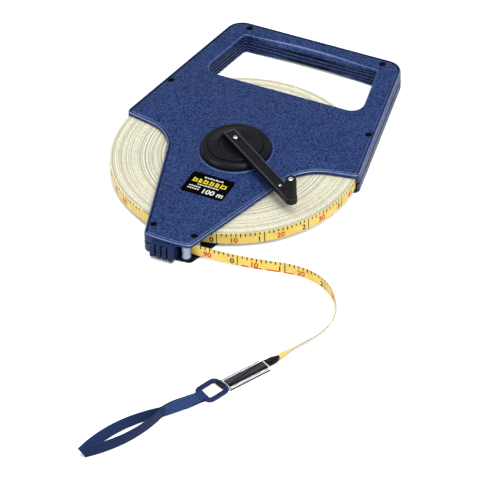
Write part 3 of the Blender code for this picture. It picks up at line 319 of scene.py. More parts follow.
STEEL = grained("bright_steel", (0.50, 0.51, 0.53), (0.78, 0.79, 0.81), (0.10, 0.24), 0.5 * MM, 0.01 * MM,
                metallic=1.0, specular=0.5)
DARK_STEEL = grained("blackened_screw", (0.012, 0.012, 0.014), (0.04, 0.04, 0.045), (0.3, 0.45), 0.4 * MM,
                     0.02 * MM, metallic=1.0, specular=0.5)
EDGES = wound_edges()
YELLOW = tape_face("yellow_tape", (0.575, 0.425, 0.100), (0.465, 0.320, 0.060))
TAPE_EDGE = grained("tape_cut_edge", (0.09, 0.072, 0.066), (0.17, 0.140, 0.125), (0.5, 0.7), 0.5 * MM,
                    0.02 * MM)
TAPE_BACK = tape_face("tape_underside", (0.46, 0.42, 0.34), (0.34, 0.30, 0.25))
WEBBING = woven("blue_webbing", (0.0036, 0.0120, 0.050), (0.0165, 0.0375, 0.125), 0.55 * MM)
# Painted shade: darker webbing for the outer face of one strand of the loop.
SHADED_WEBBING = woven("blue_webbing_painted_shade", (0.0016, 0.0062, 0.030), (0.0080, 0.0210, 0.080), 0.55 * MM)
THREAD = grained("blue_thread", (0.020, 0.044, 0.13), (0.052, 0.09, 0.21), (0.6, 0.8), 0.3 * MM, 0.05 * MM)
FILM = clear_film()
PRINT_BLACK = grained("label_film", (0.0006, 0.0006, 0.0006), (0.0026, 0.0026, 0.0028), (0.40, 0.52),
                      0.9 * MM,
                      0.01 * MM, specular=0.0)
INK_BLACK = grained("black_ink", (0.003, 0.003, 0.004), (0.014, 0.012, 0.010), (0.4, 0.5), 0.3 * MM,
                    0.01 * MM)
INK_RED = grained("red_ink", (0.30, 0.012, 0.004), (0.48, 0.034, 0.014), (0.4, 0.5), 0.3 * MM, 0.01 * MM)
# White print on the label; on the sleeve's welds it is a painted highlight.
WHITE_INK_AND_HIGHLIGHT = grained("white_ink_and_painted_highlight", (0.40, 0.40, 0.38), (0.56, 0.56, 0.54), (0.35, 0.5), 0.4 * MM, 0.01 * MM)
INK_YELLOW = grained("yellow_ink", (0.40, 0.34, 0.012), (0.54, 0.46, 0.03), (0.35, 0.5), 0.4 * MM,
                     0.01 * MM)


# ---- Mesh helpers -------------------------------------------------------------------------
SMOOTH_ANGLE = 32.0                 # degrees, edges above it stay sharp


def new_object(name, mesh, material, angle=SMOOTH_ANGLE):
    obj = bpy.data.objects.new(name, mesh)
    scene.collection.objects.link(obj)
    if material is not None:
        mesh.materials.append(material)
    mesh.shade_smooth()
    mesh.set_sharp_from_angle(angle=math.radians(angle))
    return obj


def built(name, work, material, angle=SMOOTH_ANGLE):
    bmesh.ops.recalc_face_normals(work, faces=work.faces)
    mesh = bpy.data.meshes.new(name)
    work.to_mesh(mesh)
    work.free()
    return new_object(name, mesh, material, angle)


def rounded(corners, closed=True, step=math.radians(5.0)):
    """A line through (x, y, radius) corners, each rounded by an arc."""
    outline = []
    count = len(corners)
    for index, (x, y, radius) in enumerate(corners):
        end = not closed and index in (0, count - 1)
        if radius <= 0.0 or end:
            outline.append((x, y))
            continue
        corner = Vector((x, y))
        before = (Vector(corners[index - 1][:2]) - corner).normalized()
        after = (Vector(corners[(index + 1) % count][:2]) - corner).normalized()
        half = before.angle(after) / 2
        centre = corner + (before + after).normalized() * radius / math.sin(half)
        start = corner + before * radius / math.tan(half) - centre
        finish = corner + after * radius / math.tan(half) - centre
        first = math.atan2(start.y, start.x)
        sweep_angle = (math.atan2(finish.y, finish.x) - first + math.pi) % (2 * math.pi) - math.pi
        pieces = max(3, round(abs(sweep_angle) / step))
        for piece in range(pieces + 1):
            angle = first + sweep_angle * piece / pieces
            outline.append((centre.x + radius * math.cos(angle), centre.y + radius * math.sin(angle)))
    return outline


def box_outline(low, high, radius, step=math.radians(5.0)):
    """A rectangle between two corners, with rounded corners."""
    return rounded([(low[0], low[1], radius), (high[0], low[1], radius), (high[0], high[1], radius),
                    (low[0], high[1], radius)], step=step)


def inset(outline, distance):
    """Move a closed counterclockwise outline inwards (outwards if distance is negative)."""
    moved = []
    for index, here in enumerate(outline):
        here = Vector(here)
        before = (here - Vector(outline[index - 1])).normalized()
        after = (Vector(outline[(index + 1) % len(outline)]) - here).normalized()
        normal = Vector((-before.y - after.y, before.x + after.x)).normalized()
        stretch = max(0.5, normal.dot(Vector((-before.y, before.x))))
        moved.append(tuple(here + normal * distance / stretch))
    return moved


def circle(radius, sides, spot=(0.0, 0.0)):
    turns = [2 * math.pi * index / sides for index in range(sides)]
    return [(spot[0] + radius * math.cos(angle), spot[1] + radius * math.sin(angle)) for angle in turns]


def stack(work, rings):
    """Walls between rings of vertices that have the same number of points; gives each wall's faces."""
    walls = []
    for lower, upper in zip(rings, rings[1:]):
        walls.append([])
        for index in range(len(lower)):
            after = (index + 1) % len(lower)
            walls[-1].append(work.faces.new((lower[index], lower[after], upper[after], upper[index])))
    return walls


def slab(name, outline, levels, material=None, angle=SMOOTH_ANGLE):
    """A solid between (height, inset) levels of one outline."""
    work = bmesh.new()
    rings = [[work.verts.new((x, y, height)) for x, y in inset(outline, bite)] for height, bite in levels]
    stack(work, rings)
    work.faces.new(rings[0])
    work.faces.new(rings[-1])
    return built(name, work, material, angle)


def edge_levels(low, high, radius, steps=4):
    """Levels of a slab whose two edges are rounded."""
    turns = [math.pi / 2 * step / steps for step in range(steps + 1)]
    arc = [(radius * (1 - math.cos(angle)), radius * (1 - math.sin(angle))) for angle in turns]
    lower = [(low + drop, bite) for drop, bite in arc]
    upper = [(high - drop, bite) for drop, bite in reversed(arc)]
    return lower + upper


def turned(name, profile, material=None, spot=(0.0, 0.0), sides=96, angle=SMOOTH_ANGLE):
    """A solid of revolution from a (radius, height, corner rounding) profile, down its outer side."""
    loop = profile[0][0] > 0.0 and profile[-1][0] > 0.0
    points = rounded(profile, closed=loop, step=math.radians(22.5))
    work = bmesh.new()
    rings = []
    for radius, height in points:
        if radius <= 1e-7:
            rings.append([work.verts.new((spot[0], spot[1], height))] * sides)
        else:
            rings.append([work.verts.new((x, y, height)) for x, y in circle(radius, sides, spot)])
    pairs = list(zip(rings, rings[1:])) + ([(rings[-1], rings[0])] if loop else [])
    for upper, lower in pairs:
        for index in range(sides):
            after = (index + 1) % sides
            corners = [upper[index], upper[after], lower[after], lower[index]]
            unique = list(dict.fromkeys(corners))
            if len(unique) > 2:
                work.faces.new(unique)
    return built(name, work, material, angle)


def cutter_box(low, high):
    work = bmesh.new()
    bmesh.ops.create_cube(work, size=1.0)
    size = Vector(high) - Vector(low)
    bmesh.ops.scale(work, vec=size, verts=work.verts)
    bmesh.ops.translate(work, vec=(Vector(low) + Vector(high)) / 2, verts=work.verts)
    return built("cutter", work, None)


def rod(radius, low, high, spot=(0.0, 0.0), sides=48):
    return slab("cutter", circle(radius, sides, spot), [(low, 0.0), (high, 0.0)])


def moved(obj, spot, angle):
    """Turn an object's mesh about the upright, then move it to a spot."""
    obj.data.transform(Matrix.Translation((spot[0], spot[1], 0.0)) @ Matrix.Rotation(angle, 4, "Z"))
    return obj


def carve(target, tools):
    """Cut or join tools into target; each is (object, operation). The tools are used up."""
    for tool, operation in tools:
        change = target.modifiers.new("carve", "BOOLEAN")
        change.operation = operation
        change.object = tool
        change.solver = "EXACT"
    settle(target)
    for tool, _ in tools:
        bpy.data.objects.remove(tool, do_unlink=True)
    return target


def settle(obj):
    """Make an object's modifiers part of its mesh."""
    bpy.context.view_layer.update()
    mesh = bpy.data.meshes.new_from_object(obj.evaluated_get(bpy.context.evaluated_depsgraph_get()))
    obj.modifiers.clear()
    obj.data = mesh
    mesh.shade_smooth()
    mesh.set_sharp_from_angle(angle=math.radians(SMOOTH_ANGLE))
    return obj


def soften(obj, width, segments):
    """Round an object's sharp edges."""
    bevel = obj.modifiers.new("bevel", "BEVEL")
    bevel.width = width
    bevel.segments = segments
    bevel.limit_method = "ANGLE"
    bevel.angle_limit = math.radians(40.0)
    bevel.harden_normals = False
    return settle(obj)


def mapped_face(work, layer, corners, marks):
    """A face with its UV marks."""
    face = work.faces.new(corners)
    for corner, mark in zip(face.loops, marks):
        corner[layer].uv = mark
    return face


def sweep(name, spine, section, material, closed=False, angle=40.0):
    """A bar along a spine of (place, side, rise) frames; UV is metres along and round the section."""
    work = bmesh.new()
    layer = work.loops.layers.uv.new("UVMap")
    rings = [[work.verts.new(place + side * a + rise * b) for a, b in section] for place, side,
             rise in spine]
    run = [0.0]
    for (start, _, _), (end, _, _) in zip(spine, spine[1:]):
        run.append(run[-1] + (end - start).length)
    around = [0.0]
    for index in range(len(section)):
        after = section[(index + 1) % len(section)]
        around.append(around[-1] + math.hypot(after[0] - section[index][0], after[1] - section[index][1]))
    spans = list(range(len(spine) - 1)) + ([len(spine) - 1] if closed else [])
    for index in spans:
        here, there = rings[index], rings[(index + 1) % len(rings)]
        far = run[index + 1] if index + 1 < len(run) else run[-1] + (spine[0][0] - spine[-1][0]).length
        for side in range(len(section)):
            after = (side + 1) % len(section)
            marks = ((run[index], around[side]), (run[index], around[side + 1]),
                     (far, around[side + 1]), (far, around[side]))
            mapped_face(work, layer, (here[side], here[after], there[after], there[side]), marks)
    if not closed:
        work.faces.new(rings[0])
        work.faces.new(rings[-1])
    return built(name, work, material, angle)


def put(obj, body, slot, *nodes):
    """The piece rides on a body and stands for these CAD nodes; slot is not used."""
    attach(obj, body)
    if nodes:
        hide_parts(*nodes)
    return obj


def flat_text(body, size):
    """Triangles of a word about its middle, as (points, faces)."""
    curve = bpy.data.curves.new("text", "FONT")
    curve.body = body
    curve.size = size
    curve.align_x = "CENTER"
    curve.align_y = "CENTER"
    curve.resolution_u = 3
    curve.offset = 0.028 * size
    obj = bpy.data.objects.new("text", curve)
    scene.collection.objects.link(obj)
    bpy.context.view_layer.update()
    mesh = bpy.data.meshes.new_from_object(obj.evaluated_get(bpy.context.evaluated_depsgraph_get()))
    points = [tuple(vertex.co[:2]) for vertex in mesh.vertices]
    faces = [tuple(face.vertices) for face in mesh.polygons]
    bpy.data.objects.remove(obj, do_unlink=True)
    return points, faces


# ---- Printing -----------------------------------------------------------------------------
def inked(name, marks, inks, body, slot):
    """A piece of flat marks; each mark is (points, faces, ink)."""
    points, faces, slots = [], [], []
    for placed, shapes, ink in marks:
        offset = len(points)
        points += placed
        faces += [tuple(offset + corner for corner in shape) for shape in shapes]
        slots += [inks.index(ink)] * len(shapes)
    mesh = bpy.data.meshes.new(name)
    mesh.from_pydata(points, [], faces)
    obj = bpy.data.objects.new(name, mesh)
    scene.collection.objects.link(obj)
    for ink in inks:
        mesh.materials.append(ink)
    mesh.polygons.foreach_set("material_index", slots)
    return put(obj, body, slot)


INK_LIFT = 0.04 * MM
TICK_PITCH = 4.4 * MM
TICK_WIDTH = 1.15 * MM
TICK_LENGTHS = (3.0 * MM, 3.7 * MM, 4.3 * MM)   # odd, even and fifth ticks
LINE_WIDTH = 0.9 * MM               # the lines right across the tape, at each tenth tick
NUMBER_SIZE = 7.8 * MM
NUMBER_DROP = 2.0 * MM              # numbers sit this far below the tape's middle
NUMBER_ROOM = 8.0 * MM
BLACK_BACK = 4.4 * MM               # how far a number's middle is before its line or tick
RED_BACK = 6.0 * MM
RED_NUMBERS = [flat_text(str(number), NUMBER_SIZE) for number in range(10, 100, 10)]
BLACK_NUMBERS = [flat_text(str(number), NUMBER_SIZE) for number in range(10)]


def printed(name, surface, start, finish, body, phase, underline=()):
    """Ticks and numbers on a tape face; surface(along, across, lift) gives a point of it."""
    marks = []
    half = TAPE_WIDTH / 2

    def patch(along_low, along_high, across_low, across_high, ink):
        pieces = max(1, round((along_high - along_low) / (1.0 * MM)))
        for piece in range(pieces):
            low = along_low + (along_high - along_low) * piece / pieces
            high = along_low + (along_high - along_low) * (piece + 1) / pieces
            corners = ((low, across_low), (high, across_low), (high, across_high), (low, across_high))
            marks.append(([surface(a, c, INK_LIFT) for a, c in corners], [(0, 1, 2, 3)], ink))

    def word(shape, middle, ink):
        points, faces = shape
        marks.append(([surface(middle + x, y - NUMBER_DROP, INK_LIFT * 1.5) for x, y in points], faces,
                      ink))

    for index in range(math.ceil((start - phase) / TICK_PITCH), int((finish - phase) / TICK_PITCH)):
        along = phase + index * TICK_PITCH
        decade = index // 10
        if index % 10 == 0:
            patch(along, along + LINE_WIDTH, -half + 0.2 * MM, half - 0.1 * MM, INK_BLACK)
            if along - NUMBER_ROOM > start:
                word(BLACK_NUMBERS[decade % 10], along - BLACK_BACK, INK_BLACK)
        else:
            length = TICK_LENGTHS[2 if index % 5 == 0 else 1 - index % 2]
            patch(along, along + TICK_WIDTH, half - length, half - 0.1 * MM, INK_BLACK)
        if index % 10 == 5 and along + NUMBER_ROOM < finish:
            word(RED_NUMBERS[decade % 9], along - RED_BACK, INK_RED)
    for low, high in underline:
        patch(low, high, -half + 0.3 * MM, -half + 1.6 * MM, INK_RED)
    return inked(name, marks, [INK_BLACK, INK_RED], body, "tape_yellow")


# ---- Free tape ----------------------------------------------------------------------------
def smooth_route(route, count):
    """Points at even steps along a Catmull-Rom curve through the route."""
    dense = []
    for index in range(len(route) - 1):
        before = Vector(route[max(index - 1, 0)])
        start = Vector(route[index])
        end = Vector(route[index + 1])
        after = Vector(route[min(index + 2, len(route) - 1)])
        for step in range(16):
            share = step / 16
            dense.append(0.5 * (2 * start + (end - before) * share
                                + (2 * before - 5 * start + 4 * end - after) * share ** 2
                                + (3 * start - before - 3 * end + after) * share ** 3))
    dense.append(Vector(route[-1]))
    run = [0.0]
    for start, end in zip(dense, dense[1:]):
        run.append(run[-1] + (end.xyz - start.xyz).length)
    picked = []
    cursor = 0
    for step in range(count):
        target = run[-1] * step / (count - 1)
        while cursor < len(run) - 2 and run[cursor + 1] < target:
            cursor += 1
        share = (target - run[cursor]) / (run[cursor + 1] - run[cursor])
        picked.append(dense[cursor].lerp(dense[cursor + 1], min(1.0, share)))
    return picked


sleeve_way = Vector((math.cos(SLEEVE_HEADING), math.sin(SLEEVE_HEADING)))
link_way = Vector((math.cos(LINK_HEADING), math.sin(LINK_HEADING)))
SLEEVE_END = SLEEVE_START + sleeve_way * (SLEEVE_TIP + SLEEVE_LENGTH)
LINK_NEAR = LINK_CENTRE - link_way * (LINK_SIZE.x - LINK_BAR) / 2
sleeve_run = [SLEEVE_START + sleeve_way * reach * MM for reach in (8.0, 20.0, 36.0, 52.0)]
whole_route = [tuple(point) for point in TAPE_ROUTE]
whole_route += [(spot.x / MM, spot.y / MM, 1.5, 88) for spot in sleeve_run]
whole_route += [(SLEEVE_END.x / MM, SLEEVE_END.y / MM, 1.6, 90),
                (LINK_NEAR.x / MM, LINK_NEAR.y / MM, 1.8, 90)]
ROUTE_POINTS = 260
tape_points = smooth_route([(x * MM, y * MM, z * MM, lean) for x, y, z, lean in whole_route], ROUTE_POINTS)
tape_length = sum((end.xyz - start.xyz).length for start, end in zip(tape_points, tape_points[1:]))
FREE_LENGTH = 243.0 * MM            # the part outside the sleeve


def tape_frame(along):
    """Place, side (towards the upper edge) and face direction of the free tape at a length along it."""
    share = min(max(along / tape_length, 0.0), 1.0) * (ROUTE_POINTS - 1)
    index = min(int(share), ROUTE_POINTS - 2)
    point = tape_points[index].lerp(tape_points[index + 1], share - index)
    before = tape_points[max(index - 1, 0)]
    after = tape_points[min(index + 2, ROUTE_POINTS - 1)]
    forward = (after.xyz - before.xyz).normalized()
    left = Vector((0.0, 0.0, 1.0)).cross(forward).normalized()
    rise = forward.cross(left).normalized() * -1.0
    rise = rise if rise.z > 0 else -rise
    lean = math.radians(point.w)
    side = rise * math.cos(lean) + left * math.sin(lean)
    return point.xyz, side, forward.cross(side).normalized()


TAPER_START = FREE_LENGTH - 16.0 * MM
TAPER_LENGTH = 20.0 * MM
TAPER_LOSS = 0.52                   # share of the width lost at the taper's end
TAPE_THICK = 0.4 * MM


def tape_half(along):
    """Half the tape's width, which narrows into the end sleeve."""
    share = min(max((along - TAPER_START) / TAPER_LENGTH, 0.0), 1.0)
    return TAPE_WIDTH / 2 * (1 - TAPER_LOSS * share * share * (3 - 2 * share))


def free_surface(along, across, lift):
    place, side, face = tape_frame(along)
    scale = tape_half(along) / (TAPE_WIDTH / 2)
    return place + side * across * scale + face * (TAPE_THICK / 2 + lift)


def make_free_tape():
    work = bmesh.new()
    layer = work.loops.layers.uv.new("UVMap")
    steps = ROUTE_POINTS - 1
    columns = (-1.0, -0.94, -0.3, 0.3, 0.94, 1.0)
    front, rear = [], []
    for step in range(steps + 1):
        along = tape_length * step / steps
        place, side, face = tape_frame(along)
        half = tape_half(along)
        thin = [0.8 if abs(column) == 1.0 else 1.0 for column in columns]
        front.append([work.verts.new(place + side * half * c + face * TAPE_THICK / 2 * t)
                      for c, t in zip(columns, thin)])
        rear.append([work.verts.new(place + side * half * c - face * TAPE_THICK / 2 * t)
                     for c, t in zip(columns, thin)])
    for step in range(steps):
        low, high = tape_length * step / steps, tape_length * (step + 1) / steps
        for sheet, slot in ((front, 0), (rear, 1)):
            for column in range(len(columns) - 1):
                v_low, v_high = (columns[column] + 1) * 6 * MM, (columns[column + 1] + 1) * 6 * MM
                face = mapped_face(work, layer, (sheet[step][column], sheet[step][column + 1],
                                                 sheet[step + 1][column + 1], sheet[step + 1][column]),
                                   ((low, v_low), (low, v_high), (high, v_high), (high, v_low)))
                face.material_index = slot
        for edge in (0, -1):
            face = work.faces.new((front[step][edge], rear[step][edge], rear[step + 1][edge],
                                   front[step + 1][edge]))
            face.material_index = 2
    for end in (0, -1):
        work.faces.new(front[end] + list(reversed(rear[end])))
    obj = built("free_tape_ribbon", work, YELLOW, 60.0)
    obj.data.materials.append(TAPE_BACK)
    obj.data.materials.append(TAPE_EDGE)
    return put(obj, "frame", "tape_yellow", "free_tape")


free_tape = make_free_tape()
free_print = printed("free_tape_print", free_surface, 3 * MM, FREE_LENGTH - 18 * MM, "frame", 39 * MM,
                     ((43 * MM, 50 * MM), (54 * MM, 62 * MM), (66 * MM, 78 * MM), (84 * MM, 92 * MM)))


# ---- End sleeve, link and hand strap ------------------------------------------------------
def sleeve_place(along, across, height):
    side = Vector((-sleeve_way.y, sleeve_way.x))
    spot = SLEEVE_START + sleeve_way * along + side * across
    return Vector((spot.x, spot.y, height))


def sleeve_slab(name, outline, levels, material, angle=SMOOTH_ANGLE):
    """A slab drawn along the sleeve."""
    return moved(slab(name, outline, levels, material, angle), SLEEVE_START, SLEEVE_HEADING)


def make_sleeve():
    half = SLEEVE_WIDTH / 2
    tip = rounded([(-0.6 * MM, -1.9 * MM, 1.5 * MM), (6.0 * MM, -half + 0.1 * MM, 5 * MM),
                   (SLEEVE_TIP, -half, 0.3 * MM), (SLEEVE_TIP, half, 0.3 * MM),
                   (6.0 * MM, half - 0.1 * MM, 5 * MM), (-0.6 * MM, 1.9 * MM, 1.5 * MM)])
    nose = sleeve_slab("sleeve_tip", tip, [(0.4 * MM, 0.6 * MM), (0.8 * MM, 0.1 * MM), (1.6 * MM, 0.0),
                                           (2.3 * MM, 0.3 * MM), (2.7 * MM, 0.9 * MM),
                                           (2.9 * MM, 1.5 * MM)],
                       SOFT_BLACK, 60.0)
    put(nose, "frame", "black_nylon", "end_sleeve")
    start, end = SLEEVE_TIP + 0.4 * MM, SLEEVE_TIP + SLEEVE_LENGTH
    frame_outline = box_outline((start, -half), (end, half), 0.5 * MM)
    border = sleeve_slab("sleeve_border", frame_outline, edge_levels(0.6 * MM, 2.2 * MM, 0.4 * MM),
                         SOFT_BLACK)
    put(border, "frame", "black_nylon")
    inner = inset(frame_outline, 1.0 * MM)
    strip = sleeve_slab("sleeve_strip", inner, [(2.0 * MM, 0.0), (2.35 * MM, 0.0), (2.45 * MM, 0.15 * MM)],
                        SLATE)
    put(strip, "frame", "black_nylon")
    pieces = [nose, border, strip]
    weld_half = FILM_WIDTH / 2 - 2.6 * MM
    # The cross welds are white: a painted highlight of the film's ends.
    for index, along in enumerate((SLEEVE_TIP + 0.2 * MM, end - 0.6 * MM)):
        band = sleeve_slab(f"sleeve_weld_highlight_{index + 1}",
                           box_outline((along - 0.55 * MM, -weld_half), (along + 0.55 * MM, weld_half),
                                       0.2 * MM),
                           edge_levels(0.7 * MM, 2.8 * MM, 0.3 * MM), WHITE_INK_AND_HIGHLIGHT)
        pieces.append(put(band, "frame", "clear_vinyl"))
    film = sleeve_slab("sleeve_film_sheet",
                       box_outline((start + 0.6 * MM, -FILM_WIDTH / 2), (end + 0.2 * MM, FILM_WIDTH / 2),
                                   MM),
                       edge_levels(0.1 * MM, 0.5 * MM, 0.15 * MM, 2), FILM)
    pieces.append(put(film, "frame", "clear_vinyl", "sleeve_film"))
    # The near weld bead is white: a painted highlight along the film's near edge.
    for name, across, radius, material in (("sleeve_far_weld", 0.6 * MM - FILM_WIDTH / 2, 0.28 * MM, SLATE),
                                           ("sleeve_near_weld_highlight", FILM_WIDTH / 2 - 0.6 * MM, 0.55 * MM,
                                            WHITE_INK_AND_HIGHLIGHT),
                                           ("sleeve_near_edge", FILM_WIDTH / 2 + 0.4 * MM, 0.60 * MM,
                                            SOFT_BLACK)):
        spine = []
        for step in range(24):
            along = start + 0.8 * MM + (end - start - 0.8 * MM) * step / 23
            place = sleeve_place(along, across, 0.75 * MM)
            spine.append((place, Vector((-sleeve_way.y, sleeve_way.x, 0.0)), Vector((0.0, 0.0, 1.0))))
        bead = sweep(name, spine, circle(radius, 10), material)
        pieces.append(put(bead, "frame", "clear_vinyl"))
    return pieces


def make_link():
    """Moulded rectangular link with rounded bars."""
    half_l, half_w = (LINK_SIZE.x - LINK_BAR) / 2 + 0.4 * MM, (LINK_SIZE.y - LINK_BAR) / 2 + 0.9 * MM
    loop = box_outline((-half_l, -half_w), (half_l, half_w), 4.2 * MM, math.radians(9))
    spin = Matrix.Rotation(LINK_HEADING, 3, "Z")
    dense = []
    for index, here in enumerate(loop):
        there = loop[(index + 1) % len(loop)]
        pieces = max(1, round((Vector(there) - Vector(here)).length / (1.5 * MM)))
        dense += [Vector(here).lerp(Vector(there), piece / pieces) for piece in range(pieces)]
    spine = []
    for index, here in enumerate(dense):
        along = (dense[(index + 1) % len(dense)] - dense[index - 1]).normalized()
        place = Vector((LINK_CENTRE.x, LINK_CENTRE.y, 1.9 * MM)) + spin @ Vector((here.x, here.y, 0.0))
        side = spin @ Vector((along.y, -along.x, 0.0))
        spine.append((place, side, Vector((0.0, 0.0, 1.0))))
    section = [(LINK_BAR * 0.62 * math.copysign(abs(x) ** 0.75, x),
                1.75 * MM * math.copysign(abs(y) ** 0.75, y))
               for x, y in circle(1.0, 20)]
    return put(sweep("moulded_link", spine, section, DEEP_BLUE, closed=True), "frame", "blue_abs",
               "ring_link")


LOW_WRAP = 0.62 * MM                # a band's middle goes no lower than this


def wrap_spine(centre, way, radius, first, last, width_side):
    """Frames round a bar, from an angle to another, in the upright plane along a heading."""
    spine = []
    for step in range(13):
        angle = first + (last - first) * step / 12
        out = Vector((way.x * math.cos(angle), way.y * math.cos(angle), math.sin(angle)))
        place = centre + out * radius
        spine.append((Vector((place.x, place.y, max(place.z, LOW_WRAP))), width_side, out))
    return spine


def ribbon_section(width, thick):
    half_w, half_t = width / 2, thick / 2
    return box_outline((-half_w, -half_t), (half_w, half_t), half_t * 0.8, math.radians(30))


def make_sleeve_loop():
    """Black band that holds the link's near bar to the sleeve."""
    way = -link_way
    centre = Vector((LINK_NEAR.x, LINK_NEAR.y, 1.8 * MM))
    side = Vector((-way.y, way.x, 0.0))
    reach = (SLEEVE_END - LINK_NEAR).length
    spine = [(centre + Vector((way.x, way.y, 0)) * reach + Vector((0, 0, -0.7 * MM)), side,
              Vector((0, 0, -1.0)))]
    spine += wrap_spine(centre, way, 2.15 * MM, -math.pi / 2, -math.pi * 1.5, side)
    spine += [(centre + Vector((way.x, way.y, 0)) * reach + Vector((0, 0, 0.5 * MM)), side,
               Vector((0, 0, 1.0)))]
    return put(sweep("sleeve_loop", spine, ribbon_section(8.6 * MM, 0.7 * MM), SOFT_BLACK), "frame",
               "black_nylon")


strap_way = (STRAP_CREASE - STRAP_FORK).normalized()
LINK_FAR = LINK_CENTRE + link_way * (LINK_SIZE.x - LINK_BAR) / 2


LAYER = STRAP_THICK * 0.58          # from the middle of two webbing layers to a layer's middle
STRAND_STEPS = 40
strap_across = Vector((-strap_way.y, strap_way.x))


def strap_strand(sign):
    """Middle line of one strand of the loop, from the fork to the crease."""
    line = []
    for step in range(STRAND_STEPS + 1):
        share = step / STRAND_STEPS
        spread = STRAP_BOW * math.sin(math.pi * share) ** 0.8 if 0 < share < 1 else 0.0
        line.append(STRAP_FORK.lerp(STRAP_CREASE, share) + strap_across * sign * max(spread, LAYER))
    return line


def make_strap():
    """One endless webbing strip: round the link's bar, stitched flat, then opened into an upright loop."""
    tail_way = (STRAP_FORK - LINK_FAR).normalized()
    tail_side = Vector((-tail_way.y, tail_way.x, 0.0))
    half = STRAP_WIDTH / 2

    def tail_frame(share, layer):
        """Frame on the stitched part; layer is 1 for the upper strip and -1 for the lower."""
        angle = min(max((share - 0.04) / 0.96, 0.0), 1.0) * math.pi / 2
        spot = LINK_FAR.lerp(STRAP_FORK, share)
        side = tail_side * math.cos(angle) - Vector((0.0, 0.0, math.sin(angle)))
        face = Vector((0.0, 0.0, math.cos(angle))) + tail_side * math.sin(angle)
        height = max(1.9 * MM + 4.0 * MM * share, half * math.sin(angle) + 0.4 * MM)
        apart = LAYER + 0.9 * MM * max(0.0, 1 - share * 5)
        return Vector((spot.x, spot.y, height)) + face * apart * layer, side, face

    shares = [0.07 + 0.93 * step / 30 for step in range(31)]
    spine = [tail_frame(share, 1) for share in shares]
    for strand, outward in ((strap_strand(1), 1), (strap_strand(-1), -1)):
        indices = range(1, len(strand)) if outward == 1 else range(len(strand) - 1, 0, -1)
        for index in indices:
            share = index / (len(strand) - 1)
            along = (strand[min(index + 1, len(strand) - 1)] - strand[index - 1]).normalized()
            amount = share ** 3 if outward == 1 else min(1.0, share * 1.6)
            lean = (strap_way * 0.45 + Vector((strap_way.y, -strap_way.x)) * 0.42) * amount
            down = -Vector((lean.x, lean.y, 1.0)).normalized()
            out = Vector((-along.y, along.x, 0.0)) * outward
            out = (out - down * out.dot(down)).normalized()
            middle = strand[index] + lean * half * 0.5
            spine.append((Vector((middle.x, middle.y, -half * down.z + 0.4 * MM)), down, out))
    for share in reversed(shares):
        place, side, face = tail_frame(share, -1)
        spine.append((place, side, -face))
    centre = Vector((LINK_FAR.x, LINK_FAR.y, 1.9 * MM))
    spine += wrap_spine(centre, tail_way, 2.25 * MM, -math.pi * 0.55, -math.pi * 1.45, tail_side)
    strap = sweep("webbing_strap", spine, ribbon_section(STRAP_WIDTH - 0.2 * MM, STRAP_THICK), WEBBING,
                  closed=True)
    strap.data.materials.append(SHADED_WEBBING)
    # The outer face of one strand of the loop takes the darker webbing: painted shade.
    for face in strap.data.polygons:
        reached = face.center.xy - STRAP_FORK
        share = reached.dot(strap_way) / (STRAP_CREASE - STRAP_FORK).length
        faces_out = face.normal.xy.dot(strap_across) > 0.45 and reached.dot(strap_across) > -0.5 * MM
        face.material_index = 1 if share > -0.02 and faces_out else 0
    put(strap, "frame", "webbing", "hand_strap")

    work = bmesh.new()
    along = Vector((tail_way.x, tail_way.y, 0.0))
    for step in range(30):
        share = 0.16 + 0.74 * step / 29
        for lane in range(-2, 3):
            place, side, face = tail_frame(share + 0.006 * (lane % 2), 1)
            slant = (along * 0.8 + side * (0.6 if (step + lane) % 2 else -0.6)).normalized()
            middle = place + side * lane * 1.9 * MM + face * (STRAP_THICK / 2 + 0.05 * MM)
            thread = bmesh.ops.create_cone(work, cap_ends=True, segments=6, radius1=0.24 * MM,
                                           radius2=0.24 * MM, depth=1.9 * MM)["verts"]
            turn_to = slant.to_track_quat("Z", "Y").to_matrix().to_4x4()
            bmesh.ops.transform(work, matrix=Matrix.Translation(middle) @ turn_to, verts=thread)
    stitches = put(built("strap_stitches", work, THREAD), "frame", "webbing")
    return [strap, stitches]


sleeve_pieces = make_sleeve()
link = make_link()
sleeve_loop = make_sleeve_loop()
strap_pieces = make_strap()


# ---- Covers -------------------------------------------------------------------------------
def mirrored(right_half):
    return right_half + [(-x, y, radius) for x, y, radius in reversed(right_half)]


FRAME_OUTLINE = rounded([(x * MM, y * MM, r * MM) for x, y, r in mirrored([
    (8.0, -144.4, 60.0), (23.6, -142.8, 6.0), (67.5, 0.5, 42.0), (120.6, 10.5, 5.5), (89.3, 185.0, 17.0)])])
HOLE_OUTLINE = rounded([(x * MM, y * MM, r * MM) for x, y,
                        r in mirrored([(83.0, 98.0, 12.0), (70.5, 165.5, 4.0)])])


def spaced(outline, pitch):
    """The same outline with points no further apart than pitch."""
    dense = []
    for index, here in enumerate(outline):
        there = outline[(index + 1) % len(outline)]
        pieces = max(1, math.ceil((Vector(there) - Vector(here)).length / pitch))
        dense += [tuple(Vector(here).lerp(Vector(there), piece / pieces)) for piece in range(pieces)]
    return dense


FRAME_FINE = spaced(FRAME_OUTLINE, 8 * MM)
HOLE_FINE = spaced(HOLE_OUTLINE, 4 * MM)
# Material slots of the covers: plain blue, a painted highlight on rounded rims, painted shade in grooves and
# painted shade on inner faces; each row of faces between two steps below has one.
PLAIN, PAINTED_HIGHLIGHT, PAINTED_GROOVE_SHADE, PAINTED_INNER_SHADE = range(4)
